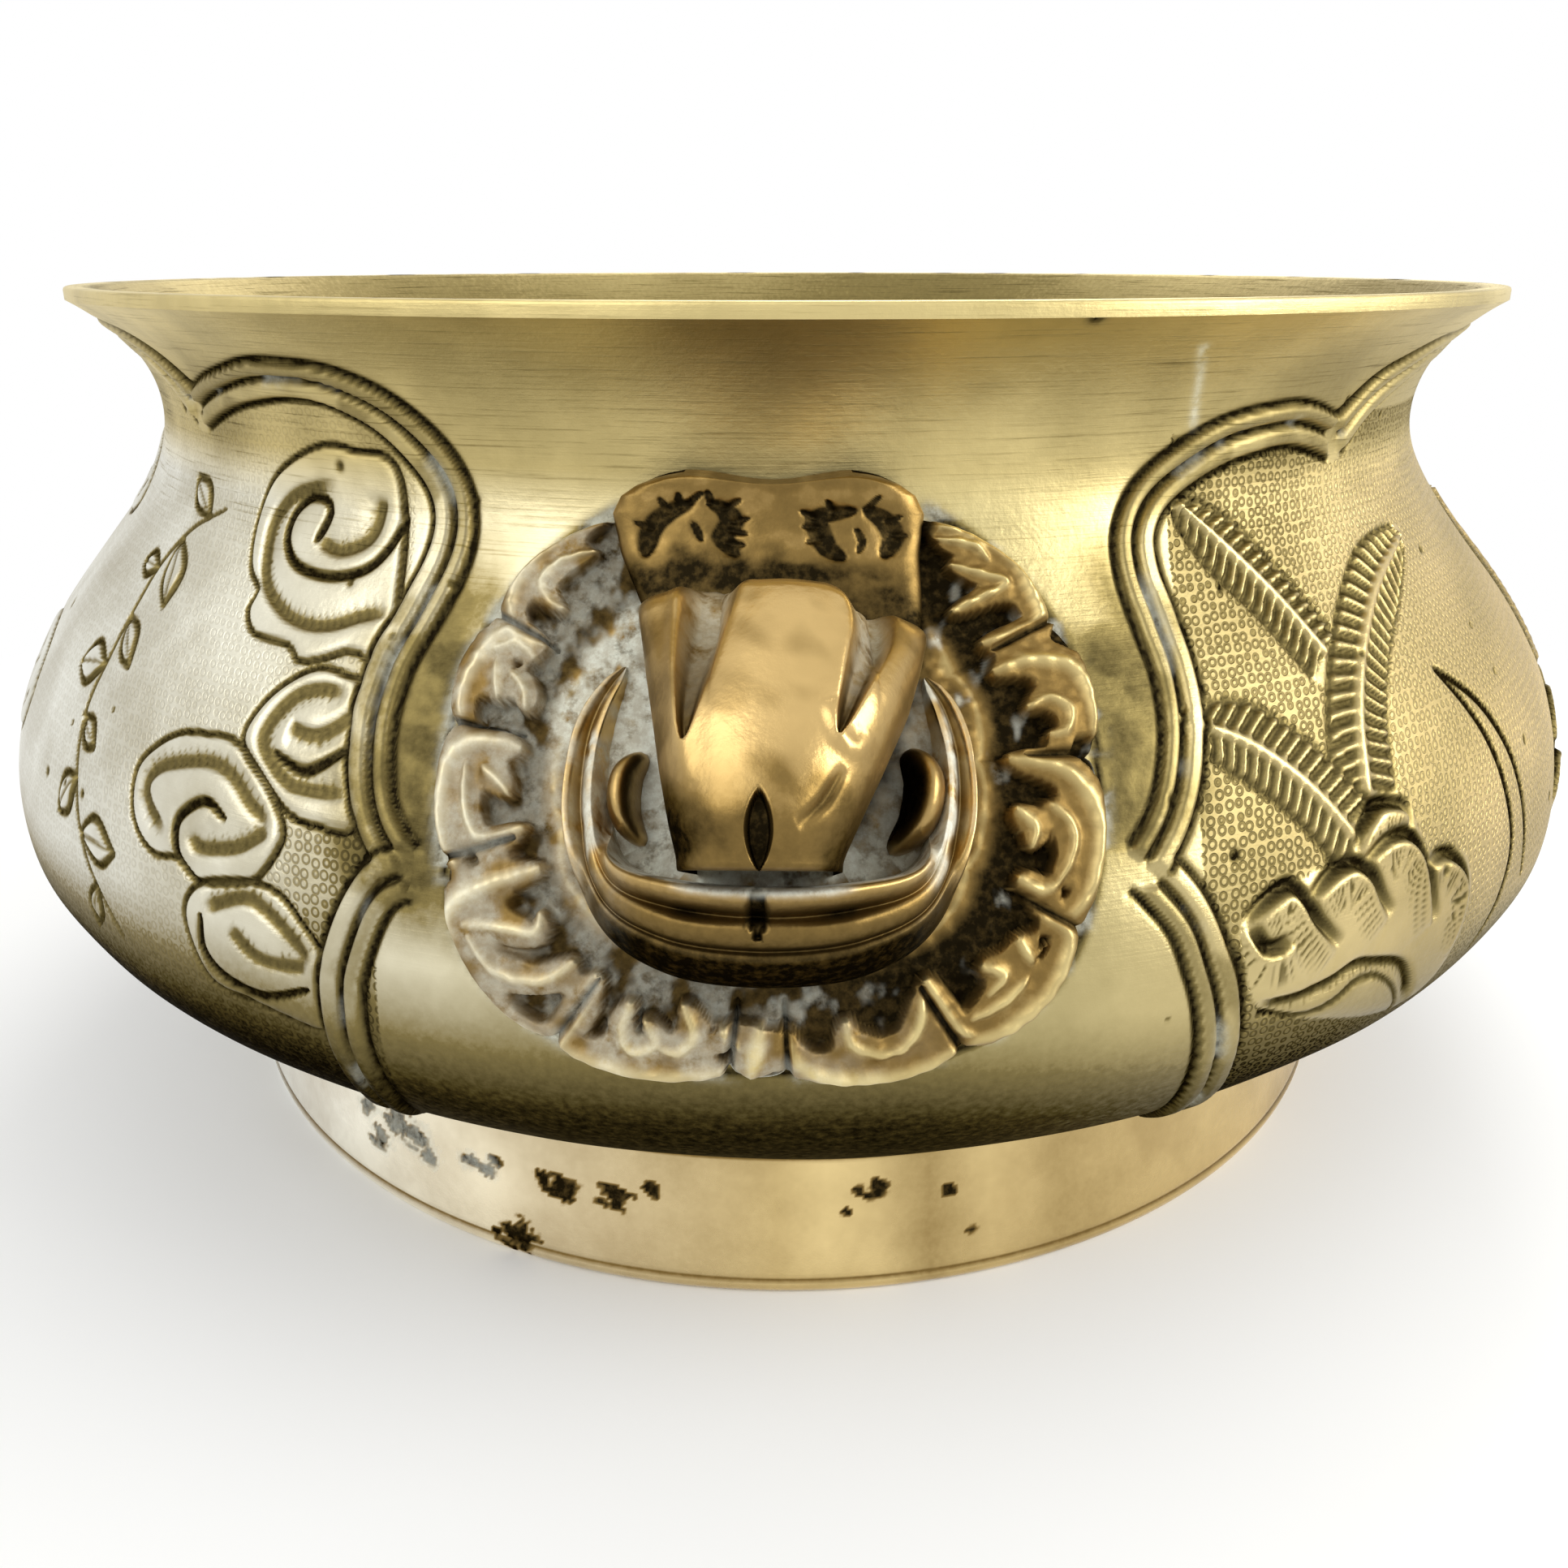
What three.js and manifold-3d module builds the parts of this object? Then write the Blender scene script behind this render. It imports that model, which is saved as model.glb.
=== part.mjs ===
// A round bronze censer: a bulging bowl with a flared mouth, a splayed foot ring, and a lion mask
// riveted on each of two opposite sides. Millimetres, +Z up.
// The origin is on the bowl's axis, on the plane that the foot stands on. The front mask faces -Y.
import * as THREE from "three";
import { mergeVertices } from "three/addons/utils/BufferGeometryUtils.js";
import Module from "manifold-3d";

const wasm = await Module();
wasm.setup();

// Bowl: radii and heights of the points that set its outline
const HEIGHT = 123;
const RIM_RADIUS = 108;
const NECK_RADIUS = 98;
const NECK_HEIGHT = 106;
const BELLY_RADIUS = 124;
const BELLY_HEIGHT = 54;
const SEAT_RADIUS = 94;
const SEAT_HEIGHT = 20;
const BASE_RADIUS = 56;
const BASE_HEIGHT = 11;
const WALL = 2.4;
const LIP_FACE = 1.6;
const LIP_WIDTH = 3.4;
const RIM_SLOPE_DEG = 31;
const SEAT_SLOPE_DEG = 37;

// Bowl: how far each stretch of the outline follows its end tangents
const FLARE_RIM_PULL = 9;
const FLARE_NECK_PULL = 5;
const SHOULDER_NECK_PULL = 15;
const SHOULDER_BELLY_PULL = 25;
const UNDERSIDE_BELLY_PULL = 14;
const UNDERSIDE_SEAT_PULL = 18;
const HIP_SEAT_PULL = 14;
const HIP_BASE_PULL = 16;

// Foot ring, and the rib under the bowl that locates it
const FOOT_SPLAY = 2.5;
const FOOT_WALL = 4;
const FOOT_TOP_WALL = 3;
const FOOT_BEVEL = 1.8;
const FOOT_WAIST = 1.2;
const RIB_WIDTH = 2.5;
const RIB_DEPTH = 2.5;

// Fits
const SEAT_GAP = 0.3;
const TANG_CLEARANCE = 0.3;

// Lion mask: the mane is a lobed plate bent to the wall, centred above the belly line
const MASK_CENTRE = 29;
const MANE_HALF_WIDTH = 32.3;
const MANE_HALF_HEIGHT = 29.6;
const MANE_TOP_POWER = 2;
const MANE_BOTTOM_POWER = 3;
const MANE_PLATE = 1.8;
const MANE_RIM_HEIGHT = 3.6;
const MANE_CURL_HEIGHT = 3.2;
const MANE_HOLLOW_HEIGHT = 1.6;
const MANE_EDGE_HEIGHT = 2;
const MANE_NOTCH = 1.5;
const MANE_GROOVE = 1;
// Edges of the brow and of the eleven curls, in degrees anticlockwise from the mask's right
const MANE_LOBE_EDGES = [61, 120, 154, 177, 200, 233, 262, 276, 305, 331, 358, 385, 421];

// Upper head: a crest that runs down into the nose. Crest and tip are measured along the wall
// from the belly line, and the nose stands out from the wall.
const CREST_TOP = 58.6;
const NOSE_TIP = 18.6;
const CREST_HALF_WIDTH = 15.3;
const NOSE_REACH = 23.5;
// Shares of the way down to the tip, of the crest's half width, and of the nose's reach
const HEAD_STATIONS = [
  { down: 0, half: 0.59, side: 0.166, ridge: 0.166 },
  { down: 0.03, half: 0.82, side: 0.183, ridge: 0.183 },
  { down: 0.115, half: 1, side: 0.19, ridge: 0.19 },
  { down: 0.24, half: 0.93, side: 0.19, ridge: 0.196 },
  { down: 0.34, half: 0.88, side: 0.196, ridge: 0.23 },
  { down: 0.38, half: 0.87, side: 0.277, ridge: 0.404 },
  { down: 0.465, half: 0.84, side: 0.34, ridge: 0.553 },
  { down: 0.59, half: 0.73, side: 0.447, ridge: 0.7 },
  { down: 0.715, half: 0.6, side: 0.553, ridge: 0.83 },
  { down: 0.84, half: 0.47, side: 0.66, ridge: 0.936 },
  { down: 0.94, half: 0.38, side: 0.723, ridge: 1 },
  { down: 1, half: 0.327, side: 0.7, ridge: 0.894 },
];
const NOSE_GROOVE = 1.6;

// Lower jaw: a lip that sweeps from cheek to cheek round the chin, in degrees about the mouth
const MOUTH_CENTRE = 27.5;
const JAW_HALF_WIDTH = 18.6;
const JAW_DROP = 18.2;
const JAW_START_DEG = 148;
const JAW_END_DEG = 392;
const JAW_STEPS = 23;
const CHEEK_WIDTH = 3;
const CHEEK_HEIGHT = 2.6;
const CHIN_WIDTH = 8.2;
const CHIN_HEIGHT = 13.5;
const FANG_RADIUS = 1.9;
const FANG_HEIGHT = 6.5;
const FANG_DEG = 204;

// Clefts cut in the nose tip and in the chin
const CLEFT_LENGTH = 5;
const CLEFT_WIDTH = 1.8;
const CLEFT_DEPTH = 5;

// Tangs cast on the head and on the jaw pass through mane and wall, and are peened over washers
const HEAD_TANG_HEIGHT = 33;
const JAW_TANG_HEIGHT = 13.4;
const TANG_RADIUS = 2.6;
const TANG_ROOT = 1.5;
const WASHER_RADIUS = 6;
const WASHER_THICKNESS = 1.2;
const PEEN_RADIUS = 4.2;
const PEEN_HEIGHT = 2;

// Frames of the chased panels: raised bands on the wall to the left and right of a mask, as places
// across from the mask's centre line and up along the wall from the belly line
const FRAME_HALF_WIDTH = 2.6;
const FRAME_RISE = 0.85;
const FRAME_ROOT = 0.9;
const FRAME_STEP = 10;
const FRAME_TOLERANCE = 0.08;
const FRAME_LINES = [
  [[-153, 72], [-115, 72], [-98, 70.5], [-88, 67.5], [-80, 62.6]],
  [[-80, 62.6], [-65.5, 67], [-54, 67.9], [-46, 65.9], [-40.4, 62.5], [-36.3, 58], [-34.8, 53.4], [-38.3, 42.3],
    [-42, 31], [-40.1, 20.5], [-36.5, 15.9]],
  [[-36.5, 15.9], [-42.2, 10], [-44.4, 0], [-43.6, -14], [-44.5, -24], [-46.5, -40]],
  [[72.9, 59.8], [80, 64], [90, 67.6], [104, 70], [125, 71.6], [153, 72]],
  [[37.3, 17], [42.1, 25.5], [43, 31], [41.3, 42], [39.6, 52], [42, 56], [47.3, 59.3], [54.4, 61.5], [62.7, 62.2],
    [72.9, 59.8]],
  [[47, -40], [47, -24], [47.2, -12], [46, 2.5], [41.5, 12.5], [37.3, 17]],
];

// Facets
const ROUND_SEGMENTS = 48;
const SMALL_SEGMENTS = 12;
const LOBE_SEGMENTS = 4;

const radians = THREE.MathUtils.degToRad;
const point = (x, y) => new THREE.Vector2(x, y);
const along = (degrees, length) => point(Math.cos(radians(degrees)), Math.sin(radians(degrees))).multiplyScalar(length);

// Outline of the bowl, from the base to the lip, as radius and height

const lip = point(RIM_RADIUS, HEIGHT - LIP_FACE);
const neck = point(NECK_RADIUS, NECK_HEIGHT);
const belly = point(BELLY_RADIUS, BELLY_HEIGHT);
const seat = point(SEAT_RADIUS, SEAT_HEIGHT);
const base = point(BASE_RADIUS, BASE_HEIGHT);

const hip = new THREE.CubicBezierCurve(
  base,
  point(BASE_RADIUS + HIP_BASE_PULL, BASE_HEIGHT),
  seat.clone().sub(along(SEAT_SLOPE_DEG, HIP_SEAT_PULL)),
  seat,
);
const underside = new THREE.CubicBezierCurve(
  seat,
  seat.clone().add(along(SEAT_SLOPE_DEG, UNDERSIDE_SEAT_PULL)),
  point(BELLY_RADIUS, BELLY_HEIGHT - UNDERSIDE_BELLY_PULL),
  belly,
);
const shoulder = new THREE.CubicBezierCurve(
  belly,
  point(BELLY_RADIUS, BELLY_HEIGHT + SHOULDER_BELLY_PULL),
  point(NECK_RADIUS, NECK_HEIGHT - SHOULDER_NECK_PULL),
  neck,
);
const flare = new THREE.CubicBezierCurve(
  neck,
  point(NECK_RADIUS, NECK_HEIGHT + FLARE_NECK_PULL),
  lip.clone().sub(along(RIM_SLOPE_DEG, FLARE_RIM_PULL)),
  lip,
);

// The wall from the foot's seat to the lip, measured along its outline from the belly line
const wall = new THREE.CurvePath();
[underside, shoulder, flare].forEach((curve) => wall.add(curve));
const wallLength = wall.getLength();
const bellyLength = underside.getLength();

// Point, outward normal and radius of the wall at a height along its outline
function wallAt(height) {
  const share = (bellyLength + height) / wallLength;
  const spot = wall.getPoint(share);
  const slope = wall.getTangent(share);
  return { radius: spot.x, z: spot.y, out: point(slope.y, -slope.x) };
}

// A place on the front of the bowl: across to the right, up along the wall, and out from it
function onWall(across, height, out) {
  const { radius, z, out: normal } = wallAt(height);
  const turn = across / radius;
  const reach = radius + out * normal.x;
  return new THREE.Vector3(reach * Math.sin(turn), -reach * Math.cos(turn), z + out * normal.y);
}

// The frame of a straight feature that goes through the wall on the mask's centre line, with +Y out
function throughWall(height) {
  const { out } = wallAt(height);
  const outward = new THREE.Vector3(0, -out.x, out.y);
  const side = new THREE.Vector3(1, 0, 0);
  const frame = new THREE.Matrix4().makeBasis(side, outward, side.clone().cross(outward));
  return frame.setPosition(onWall(0, height, 0));
}

// Height above the wall on which the head and the jaw sit, clear of the mane's plate
const maskSeat = MANE_PLATE + SEAT_GAP;

// Solids

function solid(geometry) {
  const bare = geometry.clone();
  bare.deleteAttribute("normal");
  bare.deleteAttribute("uv");
  const merged = mergeVertices(bare, 1e-3);
  const corners = merged.index.array;
  const triangles = [];
  for (let i = 0; i < corners.length; i += 3) {
    const [a, b, c] = corners.slice(i, i + 3);
    if (a !== b && b !== c && c !== a) triangles.push(a, b, c);
  }
  return new wasm.Manifold(
    new wasm.Mesh({
      numProp: 3,
      vertProperties: merged.attributes.position.array,
      triVerts: new Uint32Array(triangles),
    }),
  );
}

function geometryOf(manifold) {
  const { vertProperties, triVerts } = manifold.getMesh();
  const geometry = new THREE.BufferGeometry();
  geometry.setAttribute("position", new THREE.BufferAttribute(new Float32Array(vertProperties), 3));
  geometry.setIndex(new THREE.BufferAttribute(new Uint32Array(triVerts), 1));
  geometry.computeVertexNormals();
  return geometry;
}

// A revolved profile about +Z
function revolve(profile, segments = ROUND_SEGMENTS) {
  return new THREE.LatheGeometry(profile, segments).rotateX(Math.PI / 2);
}

// A revolved profile about the line through the wall, with the profile's height running outwards
function revolveThroughWall(height, profile) {
  return new THREE.LatheGeometry(profile, SMALL_SEGMENTS).applyMatrix4(throughWall(height));
}

// A skin over rings of equal length, closed by a fan over each end
function loft(rings) {
  const count = rings[0].length;
  const last = rings.length - 1;
  const middle = (ring) => ring.reduce((sum, p) => sum.add(p), new THREE.Vector3()).divideScalar(count);
  const points = [...rings.flat(), middle(rings[0]), middle(rings[last])];
  const startMiddle = points.length - 2;
  const endMiddle = points.length - 1;
  const faces = [];
  for (let j = 0; j < count; j++) {
    const next = (j + 1) % count;
    for (let i = 0; i < last; i++) {
      const [a, b, c, d] = [i * count + j, i * count + next, (i + 1) * count + next, (i + 1) * count + j];
      faces.push(a, b, c, a, c, d);
    }
    faces.push(startMiddle, next, j, endMiddle, last * count + j, last * count + next);
  }
  return new THREE.BufferGeometry().setFromPoints(points).setIndex(faces);
}

// Points along a stretch of the outline, moved out from it
function parallel(curve, steps, out) {
  return Array.from({ length: steps + 1 }, (_, i) => {
    const slope = curve.getTangent(i / steps);
    return curve.getPoint(i / steps).add(point(slope.y, -slope.x).multiplyScalar(out));
  });
}

// The space that the bowl takes up from a mask's back, with the seating gap round it
function bowlSpace() {
  const skin = [
    ...parallel(underside, 6, SEAT_GAP),
    ...parallel(shoulder, 8, SEAT_GAP).slice(1),
    ...parallel(flare, 4, SEAT_GAP).slice(1),
  ];
  return solid(revolve([point(0, skin[0].y), ...skin, point(0, skin.at(-1).y)]));
}

// Bowl

function bowl() {
  const ribOutside = SEAT_RADIUS - FOOT_TOP_WALL - SEAT_GAP;
  const ribInside = ribOutside - RIB_WIDTH;
  const hipPoints = hip.getPoints(10);
  const hipAt = (radius) => {
    const after = hipPoints.findIndex((p) => p.x > radius);
    const [low, high] = [hipPoints[after - 1], hipPoints[after]];
    return THREE.MathUtils.mapLinear(radius, low.x, high.x, low.y, high.y);
  };
  const rib = [
    point(ribInside, hipAt(ribInside)),
    point(ribInside, hipAt(ribInside) - RIB_DEPTH),
    point(ribOutside, hipAt(ribInside) - RIB_DEPTH),
    point(ribOutside, hipAt(ribOutside)),
  ];
  const outer = [
    point(0, BASE_HEIGHT),
    ...hip.getPoints(3).filter((p) => p.x < ribInside - RIB_WIDTH / 2),
    ...rib,
    ...parallel(underside, 6, 0),
    ...parallel(shoulder, 8, 0).slice(1),
    ...parallel(flare, 4, 0).slice(1),
  ];
  const inner = [
    ...parallel(hip, 3, -WALL),
    ...parallel(underside, 3, -WALL).slice(1),
    ...parallel(shoulder, 5, -WALL).slice(1),
    ...parallel(flare, 3, -WALL)
      .slice(1)
      .filter((p) => p.x < RIM_RADIUS - LIP_WIDTH && p.y < HEIGHT - LIP_FACE),
  ];
  const rim = [point(RIM_RADIUS, HEIGHT), point(RIM_RADIUS - LIP_WIDTH, HEIGHT)];
  const profile = [...outer, ...rim, ...inner.reverse(), point(0, BASE_HEIGHT + WALL)];
  const turned = solid(revolve(profile));
  const bands = [0, Math.PI].flatMap((turn) => FRAME_LINES.map((line) => frameBand(line).rotateZ(turn)));
  const framed = bands.reduce((body, band) => body.add(solid(band)), turned).simplify(FRAME_TOLERANCE);
  return drilled(framed, [0, Math.PI]);
}

// A band along a line on the wall, narrower at its top, with its root in the wall
function frameBand(line) {
  const path = new THREE.CatmullRomCurve3(line.map(([across, height]) => new THREE.Vector3(across, height, 0)));
  const steps = Math.ceil(path.getLength() / FRAME_STEP);
  const section = [
    { share: -1, out: -FRAME_ROOT },
    { share: -0.85, out: FRAME_RISE },
    { share: 0.85, out: FRAME_RISE },
    { share: 1, out: -FRAME_ROOT },
  ];
  const rings = path.getSpacedPoints(steps).map((spot, i) => {
    const heading = path.getTangentAt(i / steps).multiplyScalar(FRAME_HALF_WIDTH);
    return section.map(({ share, out }) => onWall(spot.x + share * heading.y, spot.y - share * heading.x, out));
  });
  return loft(rings);
}

// Holes for the tangs of a mask at each of these turns about the axis, spot-faced for the washers
function drilled(body, turns) {
  const hole = TANG_RADIUS + TANG_CLEARANCE;
  const spotFace = WASHER_RADIUS + TANG_CLEARANCE;
  const reach = 2 * (WALL + MANE_RIM_HEIGHT);
  const bore = [
    point(0, -reach),
    point(spotFace, -reach),
    point(spotFace, -WALL),
    point(hole, -WALL),
    point(hole, reach),
    point(0, reach),
  ];
  return turns.reduce(
    (left, turn) =>
      [HEAD_TANG_HEIGHT, JAW_TANG_HEIGHT].reduce(
        (rest, height) => rest.subtract(solid(revolveThroughWall(height, bore).rotateZ(turn))),
        left,
      ),
    body,
  );
}

// Foot ring

function footRing() {
  const footRadius = SEAT_RADIUS + FOOT_SPLAY;
  const top = SEAT_RADIUS - FOOT_TOP_WALL;
  const drop = Math.tan(radians(SEAT_SLOPE_DEG)) * FOOT_TOP_WALL;
  const gap = SEAT_GAP / Math.cos(radians(SEAT_SLOPE_DEG));
  const outside = new THREE.QuadraticBezierCurve(
    point(footRadius, FOOT_BEVEL),
    point(SEAT_RADIUS - FOOT_WAIST, SEAT_HEIGHT / 2),
    point(SEAT_RADIUS, SEAT_HEIGHT - gap),
  );
  const profile = [
    point(footRadius - FOOT_WALL, 0),
    point(footRadius - FOOT_BEVEL, 0),
    ...outside.getPoints(5),
    point(top, SEAT_HEIGHT - gap - drop),
  ];
  return solid(revolve([...profile, profile[0]]));
}

// Mane: a disc bent to the wall, with a raised rim and a curl in each lobe

function mane() {
  const power = (turn) => (Math.sin(turn) > 0 ? MANE_TOP_POWER : MANE_BOTTOM_POWER);
  const outline = (turn) => {
    const n = power(turn);
    const sum = Math.abs(Math.cos(turn) / MANE_HALF_WIDTH) ** n + Math.abs(Math.sin(turn) / MANE_HALF_HEIGHT) ** n;
    return sum ** (-1 / n);
  };
  // Share of the outline's radius, height of a lobe's middle and of the groove beside it
  const stations = [
    { share: 0.5, middle: MANE_PLATE, beside: MANE_PLATE },
    { share: 0.58, middle: MANE_HOLLOW_HEIGHT, beside: MANE_PLATE },
    { share: 0.68, middle: MANE_CURL_HEIGHT, beside: MANE_PLATE },
    { share: 0.78, middle: MANE_CURL_HEIGHT, beside: MANE_RIM_HEIGHT - MANE_GROOVE },
    { share: 0.86, middle: MANE_HOLLOW_HEIGHT, beside: MANE_RIM_HEIGHT - MANE_GROOVE },
    { share: 0.94, middle: MANE_RIM_HEIGHT, beside: MANE_RIM_HEIGHT - MANE_GROOVE },
    { share: 1, middle: MANE_EDGE_HEIGHT, beside: MANE_EDGE_HEIGHT - MANE_GROOVE / 2 },
  ];
  const lobes = MANE_LOBE_EDGES.length - 1;
  const profile = [
    point(0, 0),
    point(1, 0),
    ...stations.map(({ share }, i) => point(share, i + 1)).reverse(),
    point(0, 1),
  ];
  const disc = new THREE.LatheGeometry(profile, lobes * LOBE_SEGMENTS);
  const spots = disc.attributes.position;
  for (let i = 0; i < spots.count; i++) {
    const share = Math.hypot(spots.getX(i), spots.getZ(i));
    const level = spots.getY(i);
    const step = (Math.atan2(spots.getX(i), spots.getZ(i)) / (2 * Math.PI) + 1) % 1;
    const place = (Math.round(step * lobes * LOBE_SEGMENTS) / LOBE_SEGMENTS) % lobes;
    const lobe = Math.floor(place);
    const swell = Math.sin(Math.PI * (place - lobe));
    const turn = radians(THREE.MathUtils.lerp(MANE_LOBE_EDGES[lobe], MANE_LOBE_EDGES[lobe + 1], place - lobe));
    const radius = share * (outline(turn) - MANE_NOTCH * (1 - swell));
    const station = stations[Math.round(level) - 1];
    const out = station ? THREE.MathUtils.lerp(station.beside, station.middle, swell) : -WALL;
    const spot = onWall(radius * Math.cos(turn), MASK_CENTRE + radius * Math.sin(turn), out);
    spots.setXYZ(i, spot.x, spot.y, spot.z);
  }
  const rooms = [bowlSpace(), headBody(SEAT_GAP), jawBody(SEAT_GAP)];
  return drilled(rooms.reduce((left, room) => left.subtract(room), solid(disc)), [0]);
}

// A tang on the inside of a casting, with its peened end
function tang(height) {
  const washerBack = -WALL - SEAT_GAP - WASHER_THICKNESS;
  const peen = washerBack - SEAT_GAP;
  const profile = [
    point(0, peen - PEEN_HEIGHT),
    point(PEEN_RADIUS * 0.6, peen - PEEN_HEIGHT * 0.85),
    point(PEEN_RADIUS, peen - PEEN_HEIGHT * 0.3),
    point(PEEN_RADIUS, peen),
    point(TANG_RADIUS, peen),
    point(TANG_RADIUS, maskSeat + TANG_ROOT),
    point(0, maskSeat + TANG_ROOT),
  ];
  return solid(revolveThroughWall(height, profile));
}

// A leaf-shaped cleft, sunk from a height above the wall
function cleft(height, top) {
  const leaf = new THREE.Shape();
  leaf.moveTo(0, -CLEFT_LENGTH / 2);
  leaf.quadraticCurveTo(CLEFT_WIDTH, 0, 0, CLEFT_LENGTH / 2);
  leaf.quadraticCurveTo(-CLEFT_WIDTH, 0, 0, -CLEFT_LENGTH / 2);
  const blade = new THREE.ExtrudeGeometry(leaf, { depth: 2 * CLEFT_DEPTH, bevelEnabled: false, curveSegments: 5 });
  blade.rotateX(-Math.PI / 2).translate(0, top - CLEFT_DEPTH, 0);
  return solid(blade.applyMatrix4(throughWall(height)));
}

// Upper head: crest and nose in one casting. With a gap, the room that it takes in the mane.

function headBody(gap) {
  const last = HEAD_STATIONS.length - 1;
  const seatOut = maskSeat - gap;
  const rings = HEAD_STATIONS.map((station, i) => {
    const height = THREE.MathUtils.lerp(CREST_TOP, NOSE_TIP, station.down);
    const half = CREST_HALF_WIDTH * station.half;
    const side = NOSE_REACH * station.side;
    const ridge = NOSE_REACH * station.ridge;
    const rise = ridge - side;
    const groove = Math.min(NOSE_GROOVE, rise / 2);
    const right = [
      [0.5, seatOut],
      [1, seatOut],
      [1, side],
      [0.8, side + rise * 0.3],
      [0.6, side + rise * 0.3 - groove],
      [0.42, side + rise * 0.75],
      [0.2, ridge - rise * 0.06],
    ];
    const left = right.map(([share, out]) => [-share, out]).reverse();
    const level = height + (i === 0 ? gap : 0) - (i === last ? gap : 0);
    const section = [[0, seatOut], ...right, [0, ridge], ...left];
    return section.map(([share, out]) => onWall(share * (half + gap), level, out));
  });
  return solid(loft(rings));
}

function upperHead() {
  const noseCleft = cleft(NOSE_TIP + CLEFT_LENGTH / 4, NOSE_REACH);
  return headBody(0).add(tang(HEAD_TANG_HEIGHT)).subtract(noseCleft);
}

// Lower jaw: cheeks and chin in one casting. With a gap, the room that it takes in the mane.

function jawBody(gap) {
  const middle = (JAW_START_DEG + JAW_END_DEG) / 2;
  const span = (JAW_END_DEG - JAW_START_DEG) / 2;
  const seatOut = maskSeat - gap;
  const rings = Array.from({ length: JAW_STEPS + 1 }, (_, i) => {
    const degrees = THREE.MathUtils.lerp(JAW_END_DEG, JAW_START_DEG, i / JAW_STEPS);
    const fullness = Math.cos((Math.PI / 2) * ((degrees - middle) / span)) ** 1.5;
    const width = THREE.MathUtils.lerp(CHEEK_WIDTH, CHIN_WIDTH, fullness) + 2 * gap;
    const rise = THREE.MathUtils.lerp(CHEEK_HEIGHT, CHIN_HEIGHT, fullness) + gap;
    // Share of the lip's width from its outside, and of its height: two rolled ridges and the lip
    const section = [
      [0, 0],
      [0, 0.32],
      [0.16, 0.52],
      [0.3, 0.5],
      [0.4, 0.74],
      [0.56, 0.76],
      [0.68, 0.96],
      [0.86, 1],
      [1, 0.9],
      [1, 0],
    ];
    const turn = radians(degrees) + ((degrees - middle) / span) * (gap / JAW_HALF_WIDTH);
    const across = (JAW_HALF_WIDTH + gap) * Math.cos(turn);
    const drop = (JAW_DROP + gap) * Math.sin(turn);
    return section.map(([inward, up]) => {
      const scale = 1 - (inward * width) / Math.hypot(across, drop);
      return onWall(across * scale, MOUTH_CENTRE + drop * scale, seatOut + up * rise);
    });
  });
  const fangs = [FANG_DEG, 180 - FANG_DEG].map((degrees) => fang(degrees, gap));
  return fangs.reduce((whole, tooth) => whole.add(tooth), solid(loft(rings)));
}

function lowerJaw() {
  const lipHeight = MOUTH_CENTRE - JAW_DROP + CHIN_WIDTH;
  const chinCleft = cleft(lipHeight - CLEFT_LENGTH / 4, maskSeat + CHIN_HEIGHT + CLEFT_WIDTH / 2);
  return jawBody(0).add(tang(JAW_TANG_HEIGHT)).subtract(chinCleft);
}

// A blunt tooth in a corner of the mouth, rooted in the inside of the lip
function fang(degrees, gap) {
  const turn = radians(degrees);
  const inset = CHEEK_WIDTH + FANG_RADIUS * 1.4;
  const across = (JAW_HALF_WIDTH - inset) * Math.cos(turn);
  const height = MOUTH_CENTRE + (JAW_DROP - inset) * Math.sin(turn);
  const rings = [1, 0.95, 0.75, 0.35].map((share, level, all) =>
    Array.from({ length: 8 }, (_, i) => {
      const angle = (i / 8) * 2 * Math.PI;
      const radius = FANG_RADIUS * share + gap;
      const out = maskSeat - gap + (FANG_HEIGHT * level) / (all.length - 1);
      return onWall(across + 1.3 * radius * Math.cos(angle), height + 1.8 * radius * Math.sin(angle), out);
    }),
  );
  return solid(loft(rings));
}

// A washer on the inside of the wall, under a tang's peened end
function washer(height) {
  const hole = TANG_RADIUS + TANG_CLEARANCE;
  const front = -WALL - SEAT_GAP;
  const profile = [
    point(hole, front - WASHER_THICKNESS),
    point(WASHER_RADIUS, front - WASHER_THICKNESS),
    point(WASHER_RADIUS, front),
    point(hole, front),
  ];
  return solid(revolveThroughWall(height, [...profile, profile[0]]));
}

// Finishes

const finish = (color, roughness) => new THREE.MeshStandardMaterial({ color, roughness, metalness: 1 });
const agedBronze = finish(0x9c8247, 0.42);
const polishedBronze = finish(0xb5934e, 0.3);
const brightBronze = finish(0xc3a966, 0.34);
const dullBronze = finish(0x7c693b, 0.55);

function piece(name, body, material) {
  const mesh = new THREE.Mesh(geometryOf(body), material);
  mesh.name = name;
  return mesh;
}

// Assembly

const censer = new THREE.Group();
censer.add(piece("bowl", bowl(), agedBronze));
censer.add(piece("foot_ring", footRing(), brightBronze));

[
  ["front", 0],
  ["rear", Math.PI],
].forEach(([side, turn]) => {
  const mask = new THREE.Group();
  mask.rotation.z = turn;
  mask.add(
    piece(`${side}_mane`, mane(), dullBronze),
    piece(`${side}_upper_head`, upperHead(), polishedBronze),
    piece(`${side}_lower_jaw`, lowerJaw(), polishedBronze),
    piece(`${side}_head_washer`, washer(HEAD_TANG_HEIGHT), agedBronze),
    piece(`${side}_jaw_washer`, washer(JAW_TANG_HEIGHT), agedBronze),
  );
  censer.add(mask);
});

export default censer;
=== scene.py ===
"""A round bronze censer: a chased bowl on a foot ring, with a lion mask on two opposite sides.

The CAD frame gives every piece its place. The wall is modelled as sheets that are chased flat, in
millimetres across and up, and then bent round the bowl's outline. The masks are raised the same way.
"""

import math

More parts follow.
